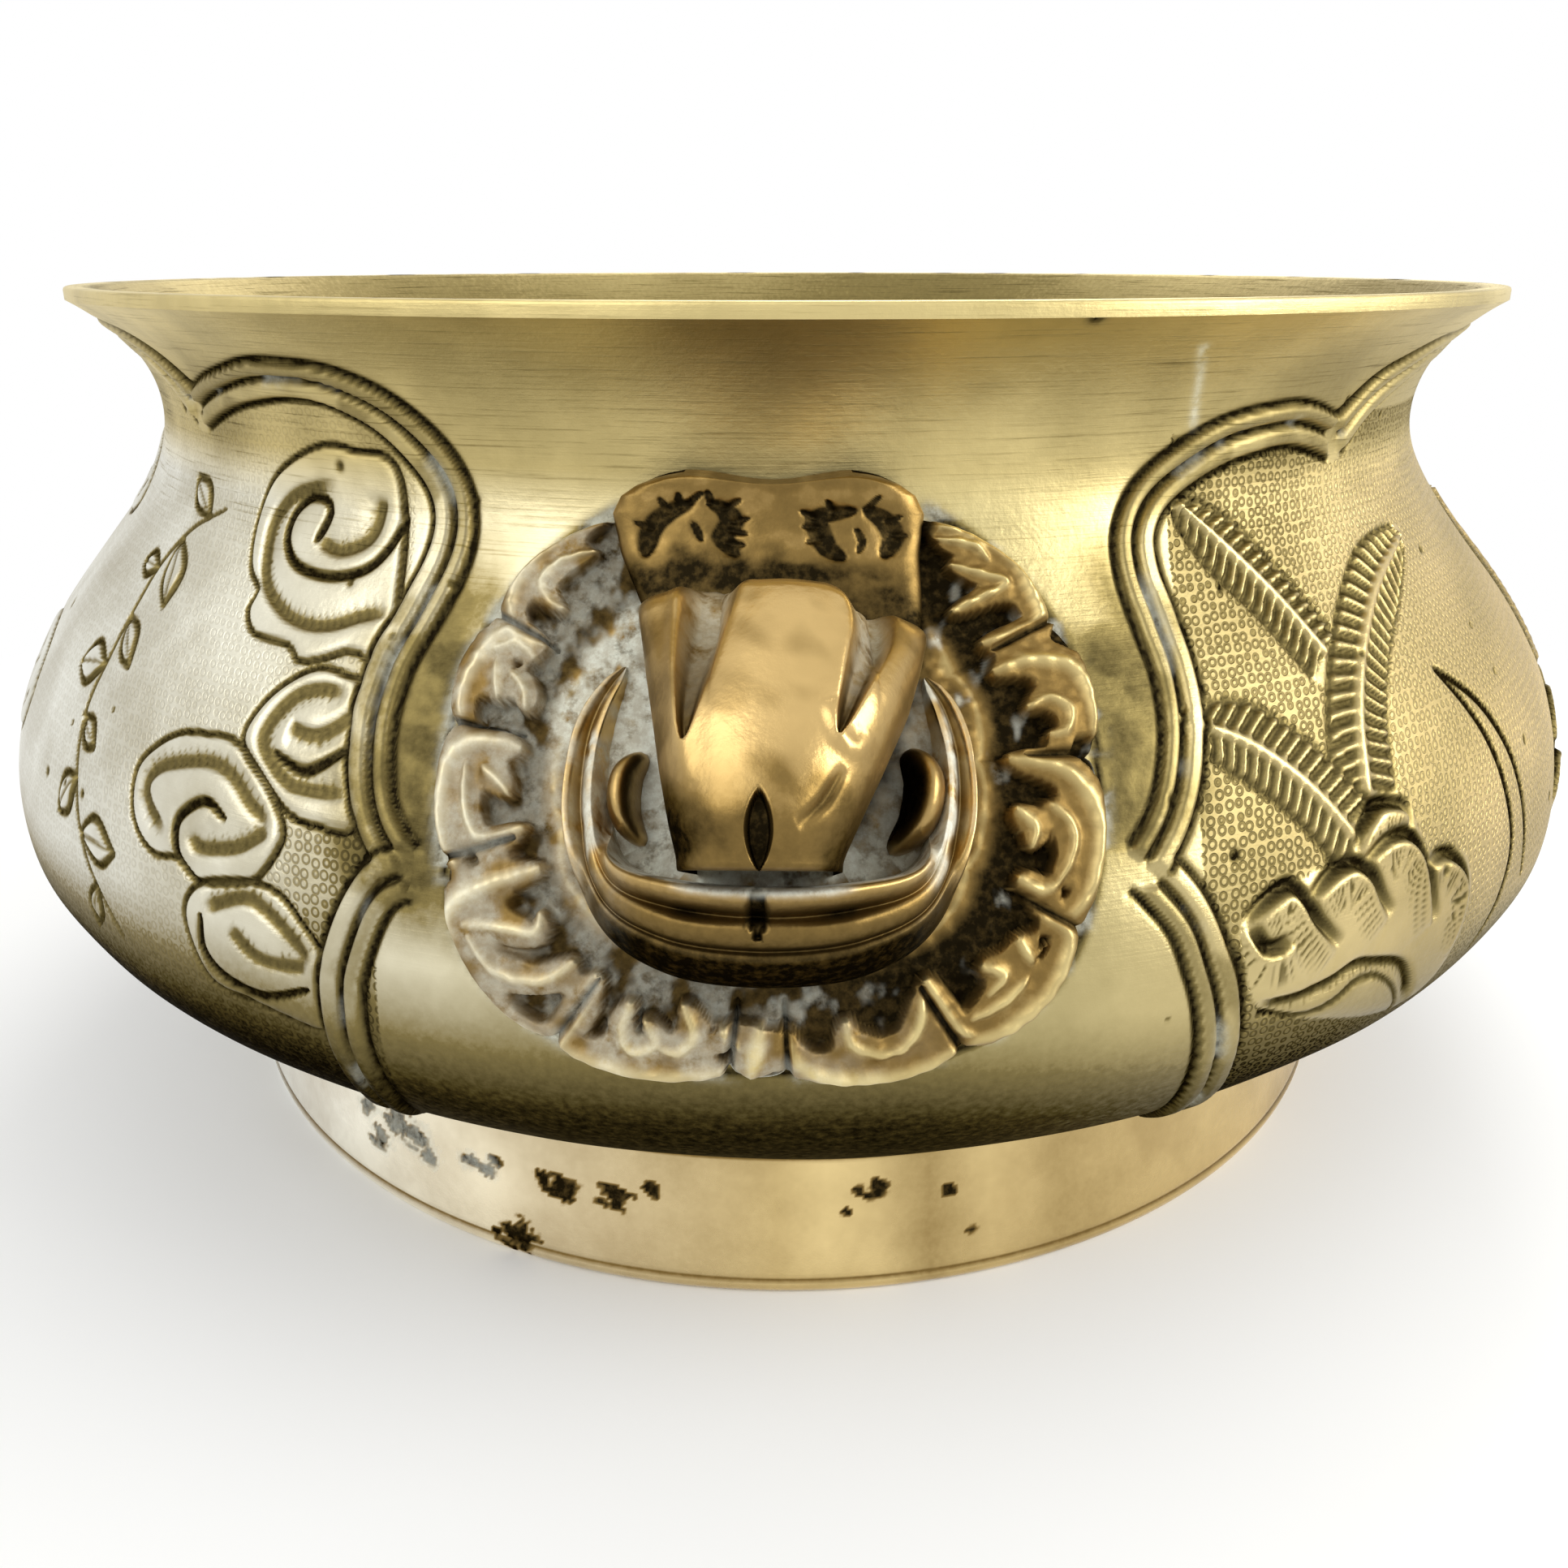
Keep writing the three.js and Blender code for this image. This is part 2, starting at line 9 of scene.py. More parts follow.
import bpy
import numpy as np
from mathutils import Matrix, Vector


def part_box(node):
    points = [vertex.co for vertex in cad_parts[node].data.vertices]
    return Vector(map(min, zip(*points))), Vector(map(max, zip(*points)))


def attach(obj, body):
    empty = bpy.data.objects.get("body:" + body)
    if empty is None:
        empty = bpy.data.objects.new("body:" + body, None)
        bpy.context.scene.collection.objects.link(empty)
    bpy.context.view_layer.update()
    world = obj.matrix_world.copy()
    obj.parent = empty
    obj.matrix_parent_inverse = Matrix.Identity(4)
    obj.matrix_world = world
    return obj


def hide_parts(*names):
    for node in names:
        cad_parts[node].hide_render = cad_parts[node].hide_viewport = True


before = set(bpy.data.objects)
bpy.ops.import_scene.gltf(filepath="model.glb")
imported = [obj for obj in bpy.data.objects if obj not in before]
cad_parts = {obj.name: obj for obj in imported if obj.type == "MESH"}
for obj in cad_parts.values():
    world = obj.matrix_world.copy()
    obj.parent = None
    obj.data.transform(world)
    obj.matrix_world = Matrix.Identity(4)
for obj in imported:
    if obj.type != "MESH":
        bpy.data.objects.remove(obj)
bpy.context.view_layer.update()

bl_info = {
    "name": "Bronze Censer",
    "version": (1, 0, 0),
    "blender": (4, 5, 0),
    "location": "View3D > Sidebar > Censer",
    "description": "Builds a chased bronze censer with lion masks on a packed CAD frame",
    "category": "Add Mesh",
}

MM = 0.001
PHOTO_SIZE = 1932
BODY = "root"


def linear(hex_colour):
    """Linear RGBA of an sRGB hex colour."""
    parts = [int(hex_colour[i : i + 2], 16) / 255 for i in (1, 3, 5)]
    return [c / 12.92 if c <= 0.04045 else ((c + 0.055) / 1.055) ** 2.4 for c in parts] + [1.0]


def length(name, description, millimetres):
    """A length property whose default is given in millimetres."""
    return bpy.props.FloatProperty(
        name=name, description=description, default=millimetres * MM, min=0.0, unit="LENGTH", precision=4
    )


def colour(name, description, hex_colour):
    """A colour property whose default is an sRGB hex value."""
    return bpy.props.FloatVectorProperty(
        name=name,
        description=description,
        default=linear(hex_colour),
        size=4,
        min=0.0,
        max=1.0,
        subtype="COLOR",
    )


class CenserBowlSettings(bpy.types.PropertyGroup):
    """Sizes of the bowl and its foot."""

    height: bpy.props.FloatProperty(
        name="Height",
        description="From the table to the rim",
        default=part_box("bowl")[1].z,
        unit="LENGTH",
        precision=4,
    )
    rim_radius: length("Rim radius", "Outside of the lip", 108)
    neck_radius: length("Neck radius", "Narrowest part under the lip", 98)
    neck_height: length("Neck height", "Height of the narrowest part", 106)
    belly_radius: length("Belly radius", "Widest part of the bowl", 124)
    belly_height: length("Belly height", "Height of the widest part", 54)
    seat_radius: length("Seat radius", "Where the foot ring meets the bowl", 94)
    seat_height: length("Seat height", "Height of the joint with the foot ring", 20)
    base_radius: length("Base radius", "Flat middle of the underside", 56)
    base_height: length("Base height", "Height of the underside", 11)
    wall: length("Wall", "Thickness of the bowl's wall", 2.4)
    lip_face: length("Lip face", "Height of the lip's outer edge", 1.6)
    lip_width: length("Lip width", "Width of the flat on top of the lip", 3.4)
    foot_splay: length("Foot splay", "How far the foot's bottom stands out from its top", 2.5)
    foot_wall: length("Foot wall", "Thickness of the foot ring at the bottom", 4)
    foot_bevel: length("Foot bevel", "Rounded bottom edge of the foot ring", 1.8)


class CenserMaskSettings(bpy.types.PropertyGroup):
    """Sizes of the lion masks."""

    centre: length("Centre", "Middle of the mane, up the wall from the belly line", 29)
    half_width: length("Half width", "Half the width of the mane", 32.3)
    half_height: length("Half height", "Half the height of the mane", 29.6)
    plate: length("Plate", "Thickness of the mane in its middle", 1.8)
    rim: length("Rim", "Height of the raised rim of each curl", 3.6)
    crest_top: length("Crest top", "Top of the crest, up the wall from the belly line", 58.6)
    nose_tip: length("Nose tip", "Tip of the nose, up the wall from the belly line", 18.6)
    crest_half_width: length("Crest half width", "Half the width of the crest", 15.3)
    nose_reach: length("Nose reach", "How far the nose stands out from the wall", 23.5)
    chin_reach: length("Chin reach", "How far the chin stands out from the mane", 13.5)


class CenserFinishSettings(bpy.types.PropertyGroup):
    """Colours of the metal and of what has gathered on it."""

    wall: colour("Wall", "Aged brass of the chased wall", "#dccd96")
    neck: colour("Neck", "Turned brass of the neck", "#e0cd90")
    foot: colour("Foot", "Rubbed brass of the foot ring", "#f0d698")
    polished: colour("Polished", "Warm worn brass of the muzzle", "#dcbb7c")
    # Pale is a painted highlight: the brass turns near white towards the left, where the light falls.
    pale: colour("Pale", "Greyer brass on the side of the clouds", "#f4f4ea")
    # Tarnish, brown and patina also colour the painted shade and reflections.
    tarnish: colour("Tarnish", "Olive tarnish over the wall", "#867748")
    brown: colour("Brown", "Warm brown tarnish over the muzzle and the foot", "#8c7240")
    patina: colour("Patina", "Brown-black patina in lines and hollows", "#1f190d")
    verdigris: colour("Verdigris", "Pale green residue in joints", "#e4e6d8")
    floor: colour("Floor", "Pale floor", "#f4f4f2")


def settings():
    """The three groups of settings on the scene."""
    scene = bpy.context.scene
    return scene.censer_bowl, scene.censer_mask, scene.censer_finish


# Outline of the bowl


def bezier(p0, p1, p2, p3, count=160):
    """Points of a cubic curve."""
    t = np.linspace(0.0, 1.0, count)[:, None]
    p0, p1, p2, p3 = (np.array(p, float) for p in (p0, p1, p2, p3))
    return (1 - t) ** 3 * p0 + 3 * t * (1 - t) ** 2 * p1 + 3 * t**2 * (1 - t) * p2 + t**3 * p3


class Outline:
    """The bowl's outer outline in millimetres, measured along itself from the belly line.

    Three curves run from the seat to the belly, the neck and the lip. At belly and neck each is pulled
    straight up or down.
    """

    def __init__(self, size):
        mm = {key: getattr(size, key) / MM for key in size.__annotations__}
        lip = (mm["rim_radius"], mm["height"] - mm["lip_face"])
        neck = (mm["neck_radius"], mm["neck_height"])
        belly = (mm["belly_radius"], mm["belly_height"])
        seat = (mm["seat_radius"], mm["seat_height"])
        base = (mm["base_radius"], mm["base_height"])
        rim_run, rim_rise = 7.7, 4.6
        seat_run, seat_rise, hip_share = 14.4, 10.8, 0.78
        above_neck, below_neck, above_belly, below_belly, past_base = 5, 15, 25, 14, 16
        rim_pull = (lip[0] - rim_run, lip[1] - rim_rise)
        seat_pull = (seat[0] + seat_run, seat[1] + seat_rise)
        hip_pull = (seat[0] - seat_run * hip_share, seat[1] - seat_rise * hip_share)
        flare = bezier(neck, (neck[0], neck[1] + above_neck), rim_pull, lip)
        belly_pull, neck_pull = (belly[0], belly[1] + above_belly), (neck[0], neck[1] - below_neck)
        shoulder = bezier(belly, belly_pull, neck_pull, neck)
        underside = bezier(seat, seat_pull, (belly[0], belly[1] - below_belly), belly)
        self.hip = bezier(base, (base[0] + past_base, base[1]), hip_pull, seat)
        path = np.vstack([underside, shoulder[1:], flare[1:]])
        arc = runs(path)
        self.arc = arc - arc[len(underside) - 1]
        slope = np.gradient(path, self.arc, axis=0)
        slope /= np.linalg.norm(slope, axis=1)[:, None]
        self.radius, self.z = path.T
        self.out_r, self.out_z = slope[:, 1], -slope[:, 0]
        self.low, self.high = self.arc[0], self.arc[-1]
        self.mm = mm

    def radius_at(self, up):
        """Radius of the wall, up along it from the belly line."""
        return np.interp(up, self.arc, self.radius)

    def place(self, across, up, out, turn=None):
        """Points of the frame, in metres, for millimetres across, up along and out from the wall."""
        radius = self.radius_at(up)
        turn = across / radius if turn is None else turn
        reach = radius + out * np.interp(up, self.arc, self.out_r)
        z = np.interp(up, self.arc, self.z) + out * np.interp(up, self.arc, self.out_z)
        return np.stack([reach * np.sin(turn), -reach * np.cos(turn), z], axis=-1) * MM


# Modelling


def new_sheet(name, columns, rows):
    """A flat grid, one unit square, whose x runs along its columns and y along its rows."""
    bpy.ops.object.select_all(action="DESELECT")
    bpy.ops.mesh.primitive_grid_add(x_subdivisions=columns, y_subdivisions=rows, size=1.0)
    sheet = bpy.context.object
    sheet.name = sheet.data.name = name
    spots = np.empty(len(sheet.data.vertices) * 3)
    sheet.data.vertices.foreach_get("co", spots)
    grid = spots.reshape(rows + 1, columns + 1, 3) + 0.5
    return sheet, grid[..., 0], grid[..., 1]


def set_points(piece, points):
    """Moves a piece's points, in metres of the frame."""
    piece.data.vertices.foreach_set("co", np.ascontiguousarray(points).ravel())
    piece.data.update()


def set_attribute(piece, name, values):
    """Gives every point of a piece a value between 0 and 1, for its finish."""
    layer = piece.data.attributes.new(name, "FLOAT", "POINT")
    layer.data.foreach_set("value", np.clip(np.ascontiguousarray(values, np.float32), 0, 1).ravel())


def set_flat_map(piece, across, up):
    """A UV map in metres of the sheet before it was bent, for patterns that follow the wall."""
    layer = piece.data.uv_layers[0]
    corners = np.empty(len(piece.data.loops), np.int32)
    piece.data.loops.foreach_get("vertex_index", corners)
    flat = np.stack([across.ravel(), up.ravel()], axis=-1)[corners] * MM
    layer.data.foreach_set("uv", np.ascontiguousarray(flat).ravel())


def close_seams(piece, outward=True):
    """Merges doubled points, turns the faces outwards if asked, and shades the piece smooth."""
    bpy.ops.object.select_all(action="DESELECT")
    bpy.context.view_layer.objects.active = piece
    piece.select_set(True)
    bpy.ops.object.mode_set(mode="EDIT")
    bpy.ops.mesh.select_all(action="SELECT")
    bpy.ops.mesh.remove_doubles(threshold=1e-6)
    if outward:
        bpy.ops.mesh.normals_make_consistent(inside=False)
    bpy.ops.object.mode_set(mode="OBJECT")
    bpy.ops.object.shade_smooth()


def dress(sheet, points, across, up, outward=True, **shades):
    """Moves a sheet's points to their place, and gives it its shades, flat map and closed seams."""
    set_points(sheet, points)
    for name, values in shades.items():
        set_attribute(sheet, name, values)
    set_flat_map(sheet, across, up)
    close_seams(sheet, outward)


def finish_piece(piece, node, material):
    """Puts a piece on the frame in place of its CAD node, with its finish."""
    piece.data.materials.clear()
    piece.data.materials.append(material)
    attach(piece, BODY)
    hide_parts(node)


def rear_copy(piece, name):
    """The same piece on the far side, turned half round the bowl's axis."""
    bpy.ops.object.select_all(action="DESELECT")
    piece.select_set(True)
    bpy.context.view_layer.objects.active = piece
    bpy.ops.object.duplicate()
    copy = bpy.context.object
    copy.name = copy.data.name = name
    copy.rotation_euler.z = math.pi
    bpy.ops.object.transform_apply(location=True, rotation=True, scale=True)
    return copy


def finish_pair(piece, part, material):
    """Finishes a piece of the front mask, and a copy of it on the rear one."""
    rear = rear_copy(piece, piece.name.replace("front", "rear"))
    finish_piece(piece, "front_" + part, material)
    finish_piece(rear, "rear_" + part, material)


# Chasing


def curve_through(points, closed=False, step=0.8, stretch=None):
    """A smooth line through a few points, by a step in millimetres or a count to each stretch."""
    knots = np.array(points, float)
    if closed:
        ring = np.vstack([knots[-1:], knots, knots[:2]])
    else:
        ring = np.vstack([2 * knots[0] - knots[1], knots, 2 * knots[-1] - knots[-2]])
    line = []
    for a, b, c, d in zip(ring, ring[1:], ring[2:], ring[3:]):
        count = stretch or max(2, int(np.hypot(*(c - b)) / step))
        t = np.linspace(0, 1, count, endpoint=False)[:, None]
        square, cube = 2 * a - 5 * b + 4 * c - d, 3 * b - a - 3 * c + d
        line.append(0.5 * (2 * b + (c - a) * t + square * t**2 + cube * t**3))
    return np.vstack([*line, knots[:1] if closed else knots[-1:]])


def runs(path):
    """How far along a line each of its points lies."""
    return np.concatenate([[0.0], np.cumsum(np.hypot(*np.diff(path, axis=0).T))])


def smooth_step(low, high, value):
    """A soft step from 0 at one value to 1 at another."""
    t = np.clip((value - low) / (high - low), 0, 1)
    return t * t * (3 - 2 * t)


def bump(distance, width):
    """A soft bump: 1 at no distance, and nearly 0 past two widths."""
    return np.exp(-((distance / width) ** 2))


def round_over(place):
    """Height of a unit circle over a place on its width."""
    return np.sqrt(np.clip(1 - place**2, 0, 1))


def dome(share):
    """A rounded rise over a line: 0 at both ends and 1 in its middle."""
    return np.sqrt(np.clip(4 * share * (1 - share), 0, 1))


def blur(field, cells):
    """A box blur of a grid, done twice along each way."""
    for axis in (0, 1, 0, 1):
        pad = [(0, 0), (0, 0)]
        pad[axis] = (cells + 1, cells)
        total = np.cumsum(np.pad(field, pad, mode="edge"), axis=axis)
        size = 2 * cells + 1
        head = np.take(total, np.arange(size, total.shape[axis]), axis=axis)
        tail = np.take(total, np.arange(0, total.shape[axis] - size), axis=axis)
        field = (head - tail) / size
    return field


def waves(x, y, seed, pitch, octaves=3):
    """Smooth irregularity between about -1 and 1, from sines in directions drawn with a seed."""
    headings, finer, level = 5, 1.9, 4.5
    dice = np.random.default_rng(seed)
    total = np.zeros_like(x)
    for octave in range(octaves):
        for _ in range(headings):
            heading = dice.uniform(0, 2 * math.pi)
            pull = 2 * math.pi * finer**octave / (pitch * dice.uniform(0.75, 1.3))
            phase = dice.uniform(0, 2 * math.pi)
            run = x * math.cos(heading) + y * math.sin(heading)
            total += np.sin(run * pull + phase) / finer**octave
    return total / level


class Chasing:
    """The relief of one sheet: height in millimetres, and how dark, green or punched its surface is."""

    def __init__(self, across, up):
        self.x, self.y = across, up
        self.height = np.zeros_like(across)
        self.dark = np.zeros_like(across)
        self.green = np.zeros_like(across)
        self.punched = np.zeros_like(across)

    def darken(self, shade, window=np.s_[:, :]):
        """Makes the sheet, or a window of it, at least as dark as a shade."""
        self.dark[window] = np.maximum(self.dark[window], shade)

    def encrust(self, amount, window=np.s_[:, :]):
        """Gives the sheet, or a window of it, at least so much residue."""
        self.green[window] = np.maximum(self.green[window], amount)

    def near(self, line, reach):
        """Rows and columns of the sheet within reach of a line, or None."""
        (left, low), (right, high) = line.min(axis=0) - reach, line.max(axis=0) + reach
        hit = (self.x > left) & (self.x < right) & (self.y > low) & (self.y < high)
        if not hit.any():
            return None
        rows, columns = np.where(hit.any(axis=1))[0], np.where(hit.any(axis=0))[0]
        return np.s_[rows[0] : rows[-1] + 1, columns[0] : columns[-1] + 1]

    def measure(self, line, window):
        """Distance to a line, signed positive on its left, and how far along it the nearest point is."""
        x, y = self.x[window], self.y[window]
        best = np.full(x.shape, 1e9)
        side = np.zeros(x.shape)
        along = np.zeros(x.shape)
        run = 0.0
        for (x0, y0), (x1, y1) in zip(line[:-1], line[1:]):
            dx, dy = x1 - x0, y1 - y0
            size = math.hypot(dx, dy)
            t = np.clip(((x - x0) * dx + (y - y0) * dy) / size**2, 0, 1)
            away = np.hypot(x - x0 - t * dx, y - y0 - t * dy)
            nearer = away < best
            best = np.where(nearer, away, best)
            side = np.where(nearer, dx * (y - y0) - dy * (x - x0), side)
            along = np.where(nearer, run + t * size, along)
            run += size
        return best * np.where(side < 0, -1, 1), along / run

    def line(self, points, width=0.45, depth=0.35, dark=1.0, closed=False):
        """A line cut with a graver, thinner towards its ends."""
        path = curve_through(points, closed)
        window = self.near(path, 4 * width)
        if window is None:
            return
        away, along = self.measure(path, window)
        taper = 1.0 if closed else 0.45 + 0.55 * dome(along)
        cut = bump(away, width * taper)
        self.height[window] -= depth * cut
        self.darken(dark * np.clip(1.7 * cut, 0, 1), window)

    def hollow(self, points, width=1.6, depth=0.6, dark=0.55, ticks=0.0, side=1):
        """A soft hollow with a steep side, and short ticks cut from it at a pitch."""
        path = curve_through(points)
        window = self.near(path, 4 * width + 3)
        if window is None:
            return
        away, along = self.measure(path, window)
        away = away * side
        ends = np.clip(12 * along * (1 - along), 0, 1)
        steep = np.where(away > 0, bump(away, width * 1.7), bump(away, width * 0.55))
        self.height[window] -= depth * steep * ends
        shade = np.where(away > 0, bump(away, width * 0.8), bump(away, width * 0.45))
        self.darken(dark * np.clip(1.4 * shade, 0, 1) * ends, window)
        if ticks:
            run = runs(path)[-1]
            comb = np.abs((along * run / ticks + 0.15 * np.sin(along * 40)) % 1 - 0.5) * 2
            reach = smooth_step(2.6, 0.4, away) * (away > -0.3)
            mark = bump(comb, 0.28) * reach * ends
            self.height[window] -= 0.12 * mark
            self.darken(0.8 * mark, window)

    def inside(self, points):
        """True inside an outline."""
        path = curve_through(points, closed=True, step=1.5)
        hit = np.zeros(self.x.shape, bool)
        window = self.near(path, 0)
        if window is None:
            return hit
        x, y = self.x[window], self.y[window]
        within = np.zeros(x.shape, bool)
        for (x0, y0), (x1, y1) in zip(path, np.roll(path, -1, axis=0)):
            if y0 != y1:
                crosses = (y0 > y) != (y1 > y)
                within ^= crosses & (x < (x1 - x0) * (y - y0) / (y1 - y0) + x0)
        hit[window] = within
        return hit

    def swell(self, points, rise=0.6, edge=3):
        """A raised form inside an outline, rounded over an edge a few cells wide, left unpunched."""
        region = self.inside(points)
        if region.any():
            self.height += rise * smooth_step(0.35, 0.95, blur(region.astype(float), edge))
            self.punched[region] = 0


# Ornament of the panels, in millimetres across and up from the middle of the belly line

LEFT_FRAME = [
    (-190, 71.5), (-150, 72), (-115, 72), (-98, 70.5), (-88, 67.5), (-80, 62.6),
]
LEFT_FRAME_LOBE = [
    (-80, 62.6), (-65.5, 67), (-54, 67.9), (-46, 65.9), (-40.4, 62.5), (-36.3, 58), (-34.8, 53.4),
    (-35.9, 48), (-38.3, 42.3), (-41, 36.5), (-42, 31), (-41.6, 25.1), (-40.1, 20.5), (-36.5, 15.9),
]
LEFT_FRAME_FOOT = [
    (-36.5, 15.9), (-39.6, 14), (-42.2, 10), (-44, 5), (-44.4, 0), (-44, -6), (-43.6, -14),
    (-44.5, -24), (-47, -46),
]
RIGHT_FRAME = [
    (72.9, 59.8), (80, 64), (90, 67.6), (104, 70), (125, 71.6), (150, 72), (190, 71.5),
]
RIGHT_FRAME_LOBE = [
    (37.3, 17), (40.3, 21), (42.1, 25.5), (43, 31), (42.6, 36.5), (41.3, 42), (39.8, 47.5), (39.6, 52),
    (42, 56), (47.3, 59.3), (54.4, 61.5), (62.7, 62.2), (72.9, 59.8),
]
RIGHT_FRAME_FOOT = [
    (47, -46), (47, -24), (47.2, -12), (47, -4), (46, 2.5), (44, 8), (41.5, 12.5), (37.3, 17),
]

# Clouds: the outline, the soft hollows inside its rim, and the lines of its curl
CLOUDS = [
    {
        "outline": [
            (-42, 57.5), (-49, 60), (-53.5, 60.2), (-59.5, 58), (-63.5, 55), (-65.5, 50), (-65, 45),
            (-62.5, 42.5), (-63.5, 40), (-61.5, 37.5), (-55.5, 37), (-53.5, 35.5), (-50.5, 36),
            (-46.5, 37.5), (-41.5, 38.5),
        ],
        "hollows": [
            [(-51, 56.5), (-58.5, 54.5), (-62, 51), (-62.5, 47.5), (-61.5, 43.5), (-57.5, 40.5),
             (-53, 39.5), (-49, 40), (-45, 41.5), (-40.5, 42.5)],
            [(-54, 49.5), (-50.5, 48.5), (-47, 49.5), (-45, 51.5), (-44, 55.5)],
        ],
        "lines": [
            [(-41, 53), (-43, 49.5), (-46, 46.8), (-51, 45.5), (-56.5, 46.2), (-59, 48.8), (-58.5, 52),
             (-56, 54.2), (-53.3, 54.2), (-52.2, 52.8), (-54, 49.5)],
        ],
    },
    {
        "outline": [
            (-43.5, 33), (-47, 35), (-50, 35.2), (-53.5, 33.5), (-57, 30.5), (-59.5, 26.5),
            (-58.5, 24.2), (-56, 22.5), (-51.5, 19.5), (-47.5, 18.8), (-42.5, 20),
        ],
        "hollows": [
            [(-45, 33), (-49.5, 33), (-53, 31.5), (-56, 28), (-56.3, 25.5), (-52.5, 22.5),
             (-49, 22), (-43, 22.5)],
            [(-44.5, 31), (-47, 29), (-49.5, 28), (-53, 28.5)],
        ],
        "lines": [[(-54.5, 25.2), (-50.5, 24), (-48, 24.8), (-44, 27.5)]],
    },
    {
        "outline": [
            (-68, 11.5), (-72, 11), (-75.5, 12.5), (-77.5, 15.5), (-77.3, 19.5), (-74, 22.5),
            (-70, 24.5), (-66, 25.2), (-61.5, 25.5), (-58, 24.2), (-54.5, 21.2), (-52, 18),
            (-52.5, 15.5), (-55.5, 12), (-60, 10.5), (-64.5, 10),
        ],
        "hollows": [
            [(-69.5, 13.5), (-73.5, 16), (-74.5, 18), (-72.5, 20), (-68, 21.5), (-63.5, 22.3), (-60, 21.5),
             (-56.5, 19), (-53, 17.5)],
            [(-65.8, 15), (-64.5, 13.4), (-61, 13.8), (-57.5, 14.8), (-53.5, 17.3)],
        ],
        "lines": [[(-64.5, 10), (-67.5, 12), (-68, 15.3), (-65.5, 17.6), (-63, 18.4), (-60.3, 17.2)]],
    },
    {
        "outline": [
            (-66, 4), (-66.3, 7.2), (-64, 9.7), (-60, 11), (-55.5, 11.6), (-52, 11), (-49.5, 9),
            (-46.5, 5.5), (-46, 0), (-47, -3), (-52.5, -2.5), (-57.5, -1.8), (-63, -1),
        ],
        "hollows": [
            [(-63, 7.2), (-57, 9.6), (-54, 9), (-51.5, 7.5), (-49.5, 5.8), (-48.3, 4)],
            [(-59.5, 6.2), (-56.5, 4), (-53.5, 3.4), (-48.3, 4)],
        ],
        "lines": [[(-63.5, 6.5), (-63.5, 3), (-61.5, 0.8), (-58, -0.3), (-54, -0.3), (-48.5, 1.8)]],
    },
    {
        "outline": [
            (-112, 55), (-120, 57), (-127, 55.5), (-131, 51), (-129, 46), (-122, 43.5), (-115, 44.5),
            (-111, 48),
        ],
        "hollows": [[(-114, 51), (-119, 53.5), (-125, 52.5), (-127.5, 49), (-123, 46.5), (-118, 47.5)]],
        "lines": [[(-113, 49), (-118, 46.5), (-121.5, 49), (-119, 51)]],
    },
    {
        "outline": [
            (-124, 22), (-133, 25), (-142, 24), (-147, 19), (-145, 13), (-137, 10), (-128, 11),
            (-123, 15.5),
        ],
        "hollows": [[(-127, 19), (-133, 21.5), (-140, 20.5), (-143, 17), (-137, 13.5), (-131, 14.5)]],
        "lines": [[(-126, 16), (-132, 13.5), (-136, 16.5), (-133, 18.8)]],
    },
]

# A leafy branch: its stem, and leaves that spring from it to alternate sides
BRANCH_STEM = [
    (-73, 51), (-81, 47.5), (-87, 42), (-89.5, 36), (-91.5, 29.5), (-93.5, 22), (-92, 14), (-88, 6),
    (-80, -1),
]
BRANCH_LEAVES = 9
BRANCH_LEAF = 7.5

# Long leaves: the midrib from the tip to the stem, and the half width on each side
LONG_LEAVES = [
    {"rib": [(45.3, 54.6), (51.5, 49.5), (58, 43), (64.5, 35)], "left": 3.2, "right": 3.4},
    {"rib": [(88, 46), (78, 41.5), (71.5, 35), (68, 27.5), (67, 19)], "left": 5.2, "right": 5.0},
    {"rib": [(42.5, 31), (50, 27.7), (55.5, 24), (60, 20), (65, 14.5)], "left": 4.2, "right": 3.6},
    {"rib": [(151, 51), (148, 44), (145, 36), (144, 27), (143, 17)], "left": 4.0, "right": 4.0},
    {"rib": [(129, 46), (134, 39), (139, 30), (141, 20)], "left": 3.6, "right": 3.8},
    {"rib": [(164, 35), (158, 31.5), (152, 26), (147, 18)], "left": 3.6, "right": 3.4},
]
LONG_LEAF_HATCH = 1.75
BLADE = [
    [(85.5, 29.5), (93.5, 24.5), (98.5, 19.5), (102, 14), (104.5, 7), (105, 0)],
    [(85.5, 29.5), (90.5, 24.5), (94.5, 19.5), (97.5, 13.5), (99.3, 6), (97, 0), (92, -6)],
]

# Rocks: each is the upper edge of a boulder, with its lit side below, from left to right
ROCKS = [
    [(49, 9.2), (51.5, 11), (54.5, 12), (56.2, 10.6), (58, 8), (61.5, 4.6)],
    [(57.2, 10.2), (60.5, 12.1), (63.5, 12.6), (66, 11), (67.6, 8.5), (69.5, 6)],
    [(65.3, 12.2), (68.5, 13.8), (72, 13.8), (74.6, 12), (76.2, 9), (78, 3)],
    [(64.5, 13.8), (65.7, 16), (68.5, 17.6), (73, 16.4), (73.2, 14.2)],
    [(76.3, 9.6), (80.5, 9.6), (83.6, 7.6), (85, 4.8), (84.3, 1), (82.6, -3)],
    [(49.4, 9), (51, 6.6), (53, 6.3), (54.6, 7)],
    [(130, 8), (135, 13), (141, 14.5), (145, 11.5), (147, 6)],
    [(144, 11), (150, 14.5), (156, 13), (160, 8), (161, 2)],
    [(125, 3), (129, 7.5), (134, 7.5), (137, 4)],
]
ROCK_HATCH = 0.75
ROCK_REGION = [
    (48.8, 10), (54.5, 12.5), (63.5, 13.5), (66, 17.5), (73.5, 17), (77, 11), (85.5, 8.5), (86, 0),
    (78, -9), (60, -4), (51.5, 0), (49, 5),
]
